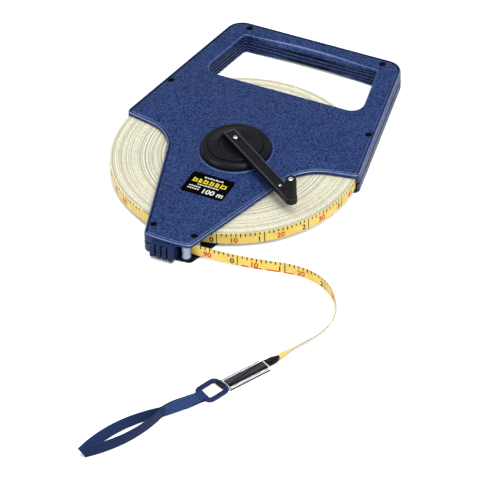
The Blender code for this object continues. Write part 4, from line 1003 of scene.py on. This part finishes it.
# (depth below the outer face, inset), in mm, down the outside of a cover, and the same for the hand hole.
RIM_STEPS = [(0.0, 3.9), (0.12, 3.6), (0.5, 3.35), (0.95, 3.15), (0.95, 2.5), (0.5, 2.25), (0.12, 2.0),
             (0.10, 1.5), (0.25, 1.0), (0.55, 0.5), (1.0, 0.18), (1.7, 0.0), (9.4, 0.0), (9.8, 0.7),
             (10.45, 0.7)]
RIM_SLOTS = [PLAIN, PAINTED_HIGHLIGHT, PAINTED_HIGHLIGHT, PAINTED_GROOVE_SHADE, PAINTED_GROOVE_SHADE, PAINTED_GROOVE_SHADE, PLAIN, PLAIN, PAINTED_HIGHLIGHT, PAINTED_HIGHLIGHT, PLAIN,
             PLAIN, PAINTED_GROOVE_SHADE, PAINTED_GROOVE_SHADE]
HOLE_STEPS = [(0.0, 1.5), (0.1, 1.0), (0.4, 0.5), (0.85, 0.15), (1.4, 0.0), (2.9, 0.0), (3.2, 0.9),
              (4.2, 0.9),
              (4.5, 0.0), (6.0, 0.0), (6.3, 0.9), (7.3, 0.9), (7.6, 0.0), (9.5, 0.0), (9.8, 0.7),
              (10.45, 0.7)]
HOLE_SLOTS = [PLAIN, PAINTED_HIGHLIGHT, PLAIN, PLAIN, PLAIN, PAINTED_GROOVE_SHADE, PAINTED_GROOVE_SHADE, PAINTED_GROOVE_SHADE, PLAIN, PAINTED_GROOVE_SHADE, PAINTED_GROOVE_SHADE,
              PAINTED_GROOVE_SHADE, PLAIN, PAINTED_GROOVE_SHADE, PAINTED_GROOVE_SHADE]
GRIP_SCOOP = 4.6 * MM               # widest part of the crescent along the grip's inner edge
GRIP_SCOOP_HALF = 62.0 * MM
SCOOP_DEPTH = 1.4 * MM              # the crescent has run out at this depth


def scoop(x, y):
    """How far the crescent moves a point of the hand hole's edge towards the grip."""
    if y < HOLE_TOP - 1.5 * MM or abs(x) >= GRIP_SCOOP_HALF:
        return 0.0
    return GRIP_SCOOP * max(0.0, math.cos(math.pi * x / (2 * GRIP_SCOOP_HALF))) ** 1.2


def cover_blank(name, face_up):
    work = bmesh.new()

    def height(depth):
        return THICK - depth if face_up else depth

    def ring(outline, bite, depth, scooped):
        made = []
        for (x, y), (base_x, base_y) in zip(inset(outline, bite), outline):
            extra = scoop(base_x, base_y) if scooped else 0.0
            fade = max(0.0, 1.0 - depth / SCOOP_DEPTH)
            drop = 0.72 * extra * min(1.0, depth / SCOOP_DEPTH) if depth < 3.0 * MM else 0.0
            made.append(work.verts.new((x, y + extra * fade, height(depth + drop))))
        return made

    frames = [ring(FRAME_FINE, bite * MM, depth * MM, False) for depth, bite in RIM_STEPS]
    holes = [ring(HOLE_FINE, -bite * MM, depth * MM, True) for depth, bite in HOLE_STEPS]
    for walls, slots in ((stack(work, frames), RIM_SLOTS), (stack(work, holes), HOLE_SLOTS)):
        for wall, slot in zip(walls, slots):
            for face in wall:
                face.material_index = slot
    for level in (0, -1):
        edges = []
        for loop in (frames[level], holes[level]):
            for index in range(len(loop)):
                pair = (loop[index], loop[(index + 1) % len(loop)])
                edges.append(work.edges.get(pair) or work.edges.new(pair))
        bmesh.ops.triangle_fill(work, use_beauty=True, use_dissolve=False, edges=edges)
    blank_cover = built(name, work, BLUE)
    for material in (RIM_HIGHLIGHT_BLUE, GROOVE_SHADE_BLUE, INNER_SHADE_BLACK):
        blank_cover.data.materials.append(material)
    return blank_cover


def blacken_inside(cover, low, high):
    """Paint shade on the pockets, and on the mouth with its lower lip, with the near-black inner material."""
    outlines = [Vector(point) for point in spaced(FRAME_OUTLINE, 2 * MM) + spaced(HOLE_OUTLINE, 2 * MM)]
    for face in cover.data.polygons:
        centre = face.center
        if not low - 0.05 * MM < centre.z < high + 0.05 * MM:
            continue
        in_mouth = centre.x > 9.0 * MM and centre.y < -94 * MM
        if in_mouth or min((point - centre.xy).length for point in outlines) > 1.5 * MM:
            face.material_index = PAINTED_INNER_SHADE


def pocket(low, high):
    hollow = slab("pocket", inset(FRAME_OUTLINE, WALL), [(low, 0.0), (high, 0.0)])
    tools = [(slab("wall", inset(HOLE_OUTLINE, -WALL), [(low - MM, 0.0), (high + MM, 0.0)]), "DIFFERENCE")]
    tools += [(rod(SCREW_POST, low - MM, high + MM, spot), "DIFFERENCE") for spot in SCREWS]
    return carve(hollow, tools)


GUIDE_RADIUS = 4.9 * MM
slit = Vector((GUIDE.x - MM, GUIDE.y - GUIDE_RADIUS - 0.7 * MM))
lift_radius = PACK_RADIUS + 0.6 * MM
lift_turn = math.atan2(slit.y, slit.x) - math.acos(lift_radius / slit.length)
LIFT_OFF = Vector((math.cos(lift_turn), math.sin(lift_turn))) * lift_radius


def openings(low, high):
    """Tools that open the nose for the tape, its rollers and the foot."""
    mouth = cutter_box((9.9 * MM, NOSE_END - 10 * MM, low), (60 * MM, -94 * MM, high))
    carve(mouth, [(rod(SCREW_POST, low - MM, high + MM, SCREWS[-1]), "DIFFERENCE")])
    run = slit - LIFT_OFF
    way = cutter_box((0.0, -2.0 * MM, low), (run.length, 2.0 * MM, high))
    moved(way, LIFT_OFF, math.atan2(run.y, run.x))
    seat = cutter_box((-14.1 * MM, NOSE_END - 10 * MM, low), (10.9 * MM, NOSE_END + 6.8 * MM, high))
    return [(mouth, "DIFFERENCE"), (way, "DIFFERENCE"), (seat, "DIFFERENCE")]


def label_outline(margin):
    half = LABEL_SIZE / 2 + Vector((margin, margin))
    return box_outline((-half.x, LABEL_Y - half.y), (half.x, LABEL_Y + half.y), 3 * MM)


def make_covers():
    back_cover = cover_blank("back_shell", False)
    tools = [(pocket(PLATE, MID + MM), "DIFFERENCE"),
             (rod(PACK_ROOM, PLATE, MID + MM, sides=180), "DIFFERENCE")]
    tools += openings(PLATE, MID + MM)
    tools += [(rod(9.0 * MM, PLATE - MM, PLATE + 4.8 * MM), "UNION"),
              (rod(4.3 * MM, PLATE - 0.2 * MM, PLATE + 6 * MM), "DIFFERENCE")]
    carve(back_cover, tools)
    blacken_inside(back_cover, 0.6 * MM, MID)
    put(back_cover, "frame", "blue_abs", "back_cover")

    front_cover = cover_blank("front_shell", True)
    tools = [(pocket(MID - MM, CEILING), "DIFFERENCE"),
             (rod(PACK_ROOM, MID - MM, CEILING, sides=180), "DIFFERENCE")]
    tools += openings(MID - MM, CEILING)
    lip = turned("lip", [(BEZEL_OUTER + GAP, THICK + 0.7 * MM, 0.0),
                         (BEZEL_OUTER + 1.9 * MM, THICK + 0.7 * MM, 0.5 * MM),
                         (BEZEL_OUTER + 2.2 * MM, THICK - MM, 0.0), (BEZEL_OUTER + GAP, THICK - MM, 0.0)],
                 sides=128)
    tools += [(lip, "UNION"), (rod(HUB_HOLE, CEILING - MM, THICK + MM, sides=96), "DIFFERENCE")]
    tools.append((slab("recess", label_outline(GAP), [(THICK - 0.8 * MM, 0.0), (THICK + MM, 0.0)]),
                  "DIFFERENCE"))
    for spot in SCREWS:
        tools.append((turned("sink", [(0.0, THICK + MM, 0.0), (3.4 * MM, THICK + MM, 0.0),
                                      (3.4 * MM, THICK, 0.0),
                                      (2.6 * MM, THICK - 0.7 * MM, 0.0), (2.6 * MM, THICK - 3.4 * MM, 0.0),
                                      (0.0, THICK - 3.4 * MM, 0.0)], spot=spot, sides=40), "DIFFERENCE"))
        tools.append((rod(1.5 * MM, MID - MM, THICK - 3 * MM, spot, 24), "DIFFERENCE"))
    carve(front_cover, tools)
    blacken_inside(front_cover, MID, CEILING)
    for face in front_cover.data.polygons:
        centre = face.center
        # The hub collar's rounded lip takes the lighter rim material: a painted highlight.
        on_lip = BEZEL_OUTER + 1.4 * MM < centre.xy.length < BEZEL_OUTER + 2.3 * MM
        if on_lip and centre.z > THICK + 0.02 * MM and face.normal.z < 0.95:
            face.material_index = PAINTED_HIGHLIGHT
        # Screw recesses take the near-black inner material: painted shade.
        in_sink = min((spot - centre.xy).length for spot in SCREWS) < 3.45 * MM
        if in_sink and THICK - 4 * MM < centre.z < THICK - 0.02 * MM:
            face.material_index = PAINTED_INNER_SHADE
    put(front_cover, "frame", "blue_abs", "front_cover")


make_covers()


# ---- Screws, label, foot and rollers ------------------------------------------------------
def make_screws():
    top = THICK - SCREW_SINK
    for index, spot in enumerate(SCREWS):
        screw = turned(f"cover_screw_{index + 1}", [
            (0.0, top - 0.1 * MM, 0.0), (1.5 * MM, top, 0.8 * MM), (SCREW_HEAD, top - 0.7 * MM, 0.4 * MM),
            (SCREW_HEAD, top - 1.5 * MM, 0.0), (1.2 * MM, top - 1.5 * MM, 0.0),
                                                    (1.2 * MM, PLATE + GAP, 0.0),
            (0.0, PLATE + GAP, 0.0)], DARK_STEEL, spot, 32)
        angle = random.uniform(0.0, math.pi)
        tools = []
        for quarter in (0.0, math.pi / 2):
            blade = cutter_box((-1.25 * MM, -0.24 * MM, top - 0.9 * MM), (1.25 * MM, 0.24 * MM, top + MM))
            tools.append((moved(blade, spot, angle + quarter), "DIFFERENCE"))
        carve(screw, tools)
        put(screw, "frame", "steel", f"frame_screw_{index + 1}")


def make_label():
    film = slab("label_film", label_outline(0.0), [(THICK - 0.5 * MM, 0.0), (THICK - 0.06 * MM, 0.0),
                                                   (THICK, 0.08 * MM)], PRINT_BLACK)
    put(film, "frame", "label_film", "label")
    marks = []
    height = THICK + 0.03 * MM

    def bar(x_low, x_high, y_low, y_high, ink):
        corners = ((x_low, y_low), (x_high, y_low), (x_high, y_high), (x_low, y_high))
        marks.append(([(x * MM, LABEL_Y + y * MM, height) for x, y in corners], [(0, 1, 2, 3)], ink))

    for index, x in enumerate((-8.0, -5.2, -2.4, 0.4, 3.2, 6.0, 8.8)):
        bar(x, x + 2.1, 9.4, 11.2 - 0.4 * (index % 2), WHITE_INK_AND_HIGHLIGHT)
    for low, high in ((-17.2, -12.4), (-11.4, -7.6), (-6.4, -1.4), (-0.2, 4.4), (5.6, 9.6), (10.8, 17.2)):
        bar(low, high, 1.4, 2.6, INK_YELLOW)
        bar(low + 0.4, low + 1.8, 2.6, 7.2, INK_YELLOW)
        bar(high - 1.6, high - 0.2, 2.6, 5.6, INK_YELLOW)
        bar(low + 1.8, high - 0.2, 5.2, 6.4, INK_YELLOW)
    for y, low, high in ((-1.8, -10.0, 12.0), (-5.6, -16.8, -5.6), (-9.0, -16.8, -6.6)):
        while low < high:
            width = 1.0 + (low * 7.3 % 1.1)
            bar(low, low + width, y, y + 1.5, WHITE_INK_AND_HIGHLIGHT)
            low += width + 0.6
    glyphs, shapes = flat_text("100 m", 8.8 * MM)
    marks.append(([(x + 8.6 * MM, LABEL_Y + y - 8.6 * MM, height) for x, y in glyphs], shapes, WHITE_INK_AND_HIGHLIGHT))
    inked("label_print", marks, [WHITE_INK_AND_HIGHLIGHT, INK_YELLOW], "frame", "label_film")


FOOT_LINES = (6.9 * MM, 10.6 * MM, 14.3 * MM)   # heights of the grooves across the foot's ribs


def make_foot():
    front = NOSE_END - NOSE_CROWN - 7.4 * MM
    rear = NOSE_END + 6.5 * MM
    left, right, ribs = -13.8 * MM, 9.6 * MM, 4
    pitch = (right - left) / ribs
    corners = [(right, rear, 0.3 * MM), (left, rear, 0.3 * MM)]
    for rib in range(ribs):
        low, high = left + rib * pitch + 0.75 * MM, left + (rib + 1) * pitch - 0.75 * MM
        low = left if rib == 0 else low
        high = right if rib == ribs - 1 else high
        if rib:
            corners.append((low, front + 3.2 * MM, 0.3 * MM))
        corners += [(low, front, 1.1 * MM), (high, front, 1.1 * MM)]
        if rib < ribs - 1:
            corners.append((high, front + 3.2 * MM, 0.3 * MM))
    levels = edge_levels(PLATE + GAP, CEILING - GAP, 0.5 * MM, 3)
    middle = []
    for height in FOOT_LINES:
        middle += [(height - 0.75 * MM, 0.0), (height - 0.4 * MM, 0.5 * MM), (height + 0.4 * MM, 0.5 * MM),
                   (height + 0.75 * MM, 0.0)]
    foot = slab("ribbed_foot", rounded(corners, step=math.radians(15)), levels[:4] + middle + levels[4:],
                DEEP_BLUE)
    foot.data.materials.append(GROOVE_SHADE_BLUE)
    # Faces in the grooves between the ribs and in the cross lines take the near-black groove material:
    # painted shade.
    for face in foot.data.polygons:
        in_groove = face.center.y > front + 0.7 * MM and left + MM < face.center.x < right - MM
        in_line = min(abs(face.center.z - height) for height in FOOT_LINES) < 0.6 * MM
        if (in_groove or in_line) and abs(face.normal.z) < 0.8:
            face.material_index = 1
    put(foot, "frame", "blue_abs", "nose_foot")


def make_rollers():
    roller = turned("grey_roller", [
        (1.4 * MM, CEILING - GAP, 0.0), (4.2 * MM, CEILING - GAP, 0.7 * MM),
        (4.2 * MM, CEILING - 1.6 * MM, 0.2 * MM), (3.95 * MM, CEILING - 2.0 * MM, 0.2 * MM),
        (3.95 * MM, PLATE + 2.0 * MM, 0.2 * MM),
        (4.2 * MM, PLATE + 1.6 * MM, 0.2 * MM), (4.2 * MM, PLATE + GAP, 0.7 * MM),
                                    (1.4 * MM, PLATE + GAP, 0.0)],
        ROLLER_GREY, ROLLER, 64)
    put(roller, "mouth_roller", "grey_acetal", "mouth_roller")
    guide = turned("post_roller", [
        (4.2 * MM, CEILING - GAP, 0.0), (4.9 * MM, CEILING - GAP, 0.2 * MM),
                                   (4.9 * MM, PLATE + GAP, 0.2 * MM),
        (4.2 * MM, PLATE + GAP, 0.0)], ROLLER_GREY, GUIDE, 64)
    put(guide, "guide_roller", "grey_acetal", "guide_roller")


make_screws()
make_label()
make_foot()
make_rollers()


# ---- Wound tape ---------------------------------------------------------------------------
TURNS = 215
TURN_SIDES = 144
TURN_PITCH = (PACK_RADIUS - 0.2 * MM - PACK_CORE) / TURNS
SEAM = 0.2 * MM                     # gap between the ends of the outer turn's face


def spiral_radius(angle_back):
    """Outer radius of the wound tape, at an angle back from where the tape leaves."""
    return PACK_RADIUS - 0.15 * MM - TURN_PITCH * angle_back / (2 * math.pi)


def make_pack():
    """The whole 100 m as one spiral, its turns a little uneven in height."""
    count = TURNS * TURN_SIDES + 1
    back_angle = (count - 1 - np.arange(count)) * (2 * math.pi / TURN_SIDES)
    angle = lift_turn - back_angle
    outer = spiral_radius(back_angle)
    inner = outer - TURN_PITCH * 0.86
    drift = np.random.default_rng(5).normal(0.0, 1.0, TURNS + 3)
    slow = np.convolve(np.random.default_rng(6).normal(0.0, 1.0, TURNS + 23), np.ones(9) / 3.0, "same")
    slow = slow[10:10 + TURNS + 3]
    turn = np.arange(count) / TURN_SIDES
    whole = np.minimum(turn.astype(int), TURNS)
    share = turn - whole
    uneven = (drift[whole] * (1 - share) + drift[whole + 1] * share) * 0.07 * MM
    uneven += (slow[whole] * (1 - share) + slow[whole + 1] * share) * 0.10 * MM
    uneven += 0.05 * MM * np.sin(angle * 2 + whole * 0.7)
    uneven = np.clip(uneven, -0.38 * MM, 0.38 * MM)
    low = PACK_LOW + 0.4 * MM + uneven * 0.8
    high = PACK_HIGH - 0.4 * MM + uneven
    rows = [(inner, low), (outer, low), (outer, high), (inner, high)]
    points = np.empty((count, 4, 3))
    for column, (radius, height) in enumerate(rows):
        points[:, column, 0] = radius * np.cos(angle)
        points[:, column, 1] = radius * np.sin(angle)
        points[:, column, 2] = height
    base = np.arange(count - 1)[:, None] * 4
    faces = np.concatenate([base + np.array([side, (side + 1) % 4, 4 + (side + 1) % 4, 4 + side])
                            for side in range(4)])
    mesh = bpy.data.meshes.new("wound_tape")
    ends = [[0, 3, 2, 1], [4 * count - 4 + k for k in range(4)]]
    mesh.from_pydata(points.reshape(-1, 3).tolist(), [], faces.tolist() + ends)
    obj = bpy.data.objects.new("wound_tape", mesh)
    scene.collection.objects.link(obj)
    mesh.materials.append(EDGES)
    return put(obj, "drum", "tape_edge", "tape_pack")


OUTER_PHASE = 77.6 * MM             # from the outer turn's start to its line 0


def pack_surface(along, across, lift):
    """A point of the outer turn's face; along counts from one turn before the tape leaves."""
    angle_back = 2 * math.pi - along / PACK_RADIUS
    radius = spiral_radius(angle_back) + 0.08 * MM + lift
    angle = lift_turn - angle_back
    return Vector((radius * math.cos(angle), radius * math.sin(angle), (PACK_LOW + PACK_HIGH) / 2 + across))


def make_outer_turn():
    """Yellow face of the outermost turn."""
    length = 2 * math.pi * PACK_RADIUS - SEAM
    work = bmesh.new()
    layer = work.loops.layers.uv.new("UVMap")
    steps = 240
    rows = [(-5.85, -0.10), (-5.75, 0.0), (-2.0, 0.0), (2.0, 0.0), (5.75, 0.0), (5.85, -0.10)]
    grid = [[work.verts.new(pack_surface(length * step / steps, v * MM, d * MM)) for v, d in rows]
            for step in range(steps + 1)]
    for step in range(steps):
        for row in range(len(rows) - 1):
            low, high = length * step / steps, length * (step + 1) / steps
            v_low, v_high = (rows[row][0] + 6) * MM, (rows[row + 1][0] + 6) * MM
            mapped_face(work, layer, (grid[step][row], grid[step + 1][row], grid[step + 1][row + 1],
                                      grid[step][row + 1]),
                        ((low, v_low), (high, v_low), (high, v_high), (low, v_high)))
    shell = built("outer_turn", work, YELLOW)
    put(shell, "drum", "tape_yellow")
    printed("outer_turn_print", pack_surface, 2 * MM, length, "drum", OUTER_PHASE)


def make_lead():
    """Tape on its way from the pack, between the rollers, to the mouth."""
    heading = (slit - LIFT_OFF).normalized()
    stops = [LIFT_OFF, LIFT_OFF.lerp(slit, 0.3), LIFT_OFF.lerp(slit, 0.6),
             slit - heading * 8 * MM, slit - heading * 4 * MM, slit, slit + Vector((1.6, 0.05)) * MM,
             slit + Vector((4.8, 0.25)) * MM]
    spine = []
    for index, spot in enumerate(stops):
        along = (stops[min(index + 1, len(stops) - 1)] - stops[max(index - 1, 0)]).normalized()
        spine.append((Vector((spot.x, spot.y, (PACK_LOW + PACK_HIGH) / 2)), Vector((0, 0, 1.0)),
                      Vector((along.y, -along.x, 0.0))))
    lead = sweep("tape_lead_ribbon", spine, ribbon_section(TAPE_WIDTH - 0.2 * MM, TAPE_THICK), YELLOW)
    put(lead, "frame", "tape_yellow", "tape_lead")


make_pack()
make_outer_turn()
make_lead()


# ---- Crank --------------------------------------------------------------------------------
def along_arm(distance, across=0.0):
    return (distance * math.cos(ARM_ANGLE) - across * math.sin(ARM_ANGLE),
            distance * math.sin(ARM_ANGLE) + across * math.cos(ARM_ANGLE))


def arm_box(start, end, half, low, high):
    block = cutter_box((start, -half, low), (end, half, high))
    return moved(block, (0.0, 0.0), ARM_ANGLE)


def make_hub():
    """Fixed ring and the crank disc in it, with a straight step and a stop bar behind the arm."""
    low, high = THICK + GAP, THICK + 6.7 * MM
    bezel = turned("hub_ring", [
        (BEZEL_INNER, high - 0.2 * MM, 0.0), (BEZEL_INNER + 0.9 * MM, high, 0.5 * MM),
        (BEZEL_OUTER - 2.6 * MM, high, 1.8 * MM), (BEZEL_OUTER - 0.2 * MM, high - 3.2 * MM, 2.0 * MM),
        (BEZEL_OUTER, low + 0.9 * MM, 0.3 * MM), (BEZEL_OUTER, low, 0.0),
        (28.8 * MM, low, 0.0), (28.8 * MM, DISC_LOW + 2.5 * MM, 0.0),
                                (BEZEL_INNER, DISC_LOW + 2.5 * MM, 0.0)],
        BLACK, sides=128)
    put(bezel, "frame", "black_nylon", "hub_bezel")

    lip_high = DISC_LOW + 2.2 * MM
    disc = turned("crank_plate", [
        (0.0, DISC_TOP - 0.9 * MM, 0.0), (DISC_RADIUS * 0.60, DISC_TOP - 0.9 * MM, 0.3 * MM),
        (DISC_RADIUS * 0.64, DISC_TOP, 0.3 * MM), (DISC_RADIUS - 0.5 * MM, DISC_TOP, 0.6 * MM),
        (DISC_RADIUS, DISC_TOP - 1.2 * MM, 0.4 * MM), (DISC_RADIUS, lip_high, 0.0),
                                  (28.5 * MM, lip_high, 0.0),
        (28.5 * MM, DISC_LOW, 0.0), (0.0, DISC_LOW, 0.0)], BLACK, sides=128)
    step_start = -ARM_TAIL - GAP
    carve(disc, [(rod(4.3 * MM, DISC_LOW - MM, DISC_LOW + 4.2 * MM), "DIFFERENCE"),
                 (rod(2.4 * MM, DISC_LOW, DISC_TOP + MM), "DIFFERENCE"),
                 (arm_box(-40 * MM, step_start - 3.4 * MM, 40 * MM, DISC_TOP - 1.4 * MM, DISC_TOP + 5 * MM),
                  "DIFFERENCE"),
                 (arm_box(step_start - 3.0 * MM, step_start, ARM_HALF + 1.2 * MM, DISC_TOP - 2 * MM,
                          DISC_TOP + 2.6 * MM), "UNION")])
    soften(disc, 0.22 * MM, 2)
    put(disc, "crank", "black_nylon", "crank_disc")


def arm_outline(margin):
    half = ARM_HALF - margin
    outline = [along_arm(-ARM_TAIL + margin, -half)]
    for step in range(25):
        angle = math.radians(-90 + 7.5 * step)
        outline.append(along_arm(ARM_THROW + half * math.cos(angle), half * math.sin(angle)))
    outline.append(along_arm(-ARM_TAIL + margin, half))
    return outline


def make_arm():
    """Channel-section arm with a web, two side ribs and a seat for the knob's pin."""
    arm = slab("channel_arm", arm_outline(0.0), edge_levels(ARM_LOW, ARM_TOP, 0.4 * MM), BLACK)
    rib = 1.6 * MM
    well = slab("well", arm_outline(rib), [(WEB_TOP, 0.25 * MM), (WEB_TOP + 0.3 * MM, 0.0),
                                           (ARM_TOP - 0.35 * MM, 0.0), (ARM_TOP + MM, -1.1 * MM)])
    under = slab("under", arm_outline(rib), [(ARM_LOW - MM, 0.0), (WEB_TOP - 1.8 * MM, 0.0)])
    seat = rod(ARM_HALF - 0.5 * MM, ARM_LOW, WEB_TOP - MM)
    boss = slab("boss", circle(4.8 * MM, 48, KNOB_AXIS), edge_levels(ARM_LOW, ARM_TOP, 0.3 * MM, 2))
    carve(arm, [(well, "DIFFERENCE"), (under, "DIFFERENCE"), (seat, "UNION"), (boss, "UNION"),
                (rod(2.4 * MM, ARM_LOW - MM, ARM_TOP), "DIFFERENCE"),
                (rod(1.8 * MM, ARM_LOW - MM, ARM_TOP + MM, KNOB_AXIS), "DIFFERENCE"),
                (rod(1.3 * MM, ARM_LOW - MM, ARM_TOP, along_arm(RIVET_THROW)), "DIFFERENCE")])
    arm.data.materials.append(RIB_HIGHLIGHT_BLACK)
    # The tops of the ribs take the lighter black: a painted highlight.
    for face in arm.data.polygons:
        if face.center.z > ARM_TOP - 0.45 * MM and face.normal.z > 0.3:
            face.material_index = 1
    put(arm, "crank", "black_nylon", "crank_arm")

    rivet = turned("rivet_head", [
        (0.0, WEB_TOP + 1.25 * MM, 0.0), (1.3 * MM, WEB_TOP + 1.15 * MM, 0.5 * MM),
        (1.7 * MM, WEB_TOP + 0.5 * MM, 0.2 * MM), (1.7 * MM, WEB_TOP + 0.02 * MM, 0.0),
        (1.0 * MM, WEB_TOP + 0.02 * MM, 0.0), (1.0 * MM, ARM_LOW + MM, 0.0), (0.0, ARM_LOW + MM, 0.0)],
        STEEL, along_arm(RIVET_THROW), 40)
    put(rivet, "crank", "steel", "arm_rivet")
    washer = turned("washer", [
        (2.3 * MM, WEB_TOP + 0.6 * MM, 0.1 * MM), (3.8 * MM, WEB_TOP + 0.6 * MM, 0.15 * MM),
        (3.8 * MM, WEB_TOP + 0.05 * MM, 0.0), (2.3 * MM, WEB_TOP + 0.05 * MM, 0.0)], DARK_STEEL, sides=48)
    put(washer, "crank", "steel", "crank_washer")
    head = WEB_TOP + 0.65 * MM
    screw = turned("hub_screw", [
        (0.0, head + 1.75 * MM, 0.0), (1.5 * MM, head + 1.6 * MM, 1.0 * MM),
                                 (2.2 * MM, head + 0.8 * MM, 0.4 * MM),
        (2.2 * MM, head, 0.0), (2.0 * MM, head, 0.0), (2.0 * MM, THICK - 3.7 * MM, 0.0),
        (0.0, THICK - 3.7 * MM, 0.0)], STEEL, sides=48)
    carve(screw, [(cutter_box((-3 * MM, -0.3 * MM, head + 1.0 * MM), (3 * MM, 0.3 * MM, head + 3 * MM)),
                   "DIFFERENCE")])
    put(screw, "crank", "steel", "crank_screw")


def make_knob():
    """Turning knob with round-bottomed flutes and a pin through it."""
    radius, flutes, sides = 5.3 * MM, 14, 168
    work = bmesh.new()
    rings = []
    for height, bite in ((KNOB_LOW, 0.5), (KNOB_LOW + 0.4 * MM, 0.1), (KNOB_LOW + MM, 0.0),
                         (KNOB_TOP - 2.0 * MM, 0.12), (KNOB_TOP - MM, 0.35), (KNOB_TOP - 0.4 * MM, 0.75),
                         (KNOB_TOP, 1.3)):
        flute = 0.8 * MM * max(0.0, 1.0 - bite / 1.4)
        ring = []
        for index in range(sides):
            angle = 2 * math.pi * index / sides
            away = radius - bite * MM - flute * (1.0 - abs(math.cos(flutes * angle / 2)) ** 0.6)
            ring.append(work.verts.new((KNOB_AXIS.x + away * math.cos(angle),
                                        KNOB_AXIS.y + away * math.sin(angle), height)))
        rings.append(ring)
    stack(work, rings)
    work.faces.new(rings[0])
    work.faces.new(rings[-1])
    knob = built("fluted_knob", work, BLACK, 50.0)
    carve(knob, [(rod(2.1 * MM, KNOB_LOW - MM, KNOB_TOP + MM, KNOB_AXIS), "DIFFERENCE"),
                 (rod(3.3 * MM, KNOB_TOP - 1.6 * MM, KNOB_TOP + MM, KNOB_AXIS), "DIFFERENCE")])
    put(knob, "knob", "black_nylon", "knob")
    head = KNOB_TOP - 1.3 * MM
    pin = turned("pin_head", [
        (0.0, head + 1.5 * MM, 0.0), (1.9 * MM, head + 1.3 * MM, 1.2 * MM),
                              (3.0 * MM, head + 0.6 * MM, 0.4 * MM),
        (3.0 * MM, head, 0.0), (1.5 * MM, head, 0.0), (1.5 * MM, ARM_LOW + 0.6 * MM, 0.0),
        (0.0, ARM_LOW + 0.6 * MM, 0.0)], STEEL, KNOB_AXIS, 64)
    put(pin, "crank", "steel", "knob_pin")


make_hub()
make_arm()
make_knob()

# ---- CAD pieces that keep their shape -----------------------------------------------------
GEARS = ("drum", "sun_gear", "ring_gear", "planet_gear_1", "planet_gear_2", "planet_gear_3")
PINS = ("crank_shaft", "planet_pin_1", "planet_pin_2", "planet_pin_3", "tape_anchor_pin", "roller_pin")
for names, material in ((GEARS, GEAR_WHITE), (PINS, STEEL)):
    for name in names:
        NODES[name].data.materials.clear()
        NODES[name].data.materials.append(material)


# ---- Floor and light ----------------------------------------------------------------------
def make_stage():
    work = bmesh.new()
    bmesh.ops.create_grid(work, x_segments=2, y_segments=2, size=6.0)
    floor = built("floor", work, None)
    material, tree, shader = blank("paper_floor", 0.9, specular=0.1)
    place = add(tree, "TexCoord").outputs["Object"]
    mottle = add(tree, "TexNoise", {"Vector": place, "Scale": 3.0})
    tint(tree, shader, "Base Color", mottle.outputs["Fac"], [(0.3, 0.93), (0.7, 0.95)])
    floor.data.materials.append(material)


def area_light(name, place, size, power):
    data = bpy.data.lights.new(name, "AREA")
    data.shape = "DISK"
    data.size = size
    data.energy = power
    light = bpy.data.objects.new(name, data)
    light.location = place
    light.rotation_euler = (CAMERA_AIM - Vector(place)).to_track_quat("-Z", "Y").to_euler()
    scene.collection.objects.link(light)


make_stage()
area_light("key", (1.75, -0.9, 2.1), 1.5, 60.0)
area_light("fill", (-1.6, -1.5, 1.5), 1.6, 25.0)
area_light("top", (0.3, -0.5, 2.9), 1.8, 60.0)
world = bpy.data.worlds.new("studio")
world.use_nodes = True
world.node_tree.nodes["Background"].inputs["Color"].default_value = (1.0, 1.0, 1.0, 1.0)
world.node_tree.nodes["Background"].inputs["Strength"].default_value = 0.6
scene.world = world
scene.view_settings.view_transform = "Standard"
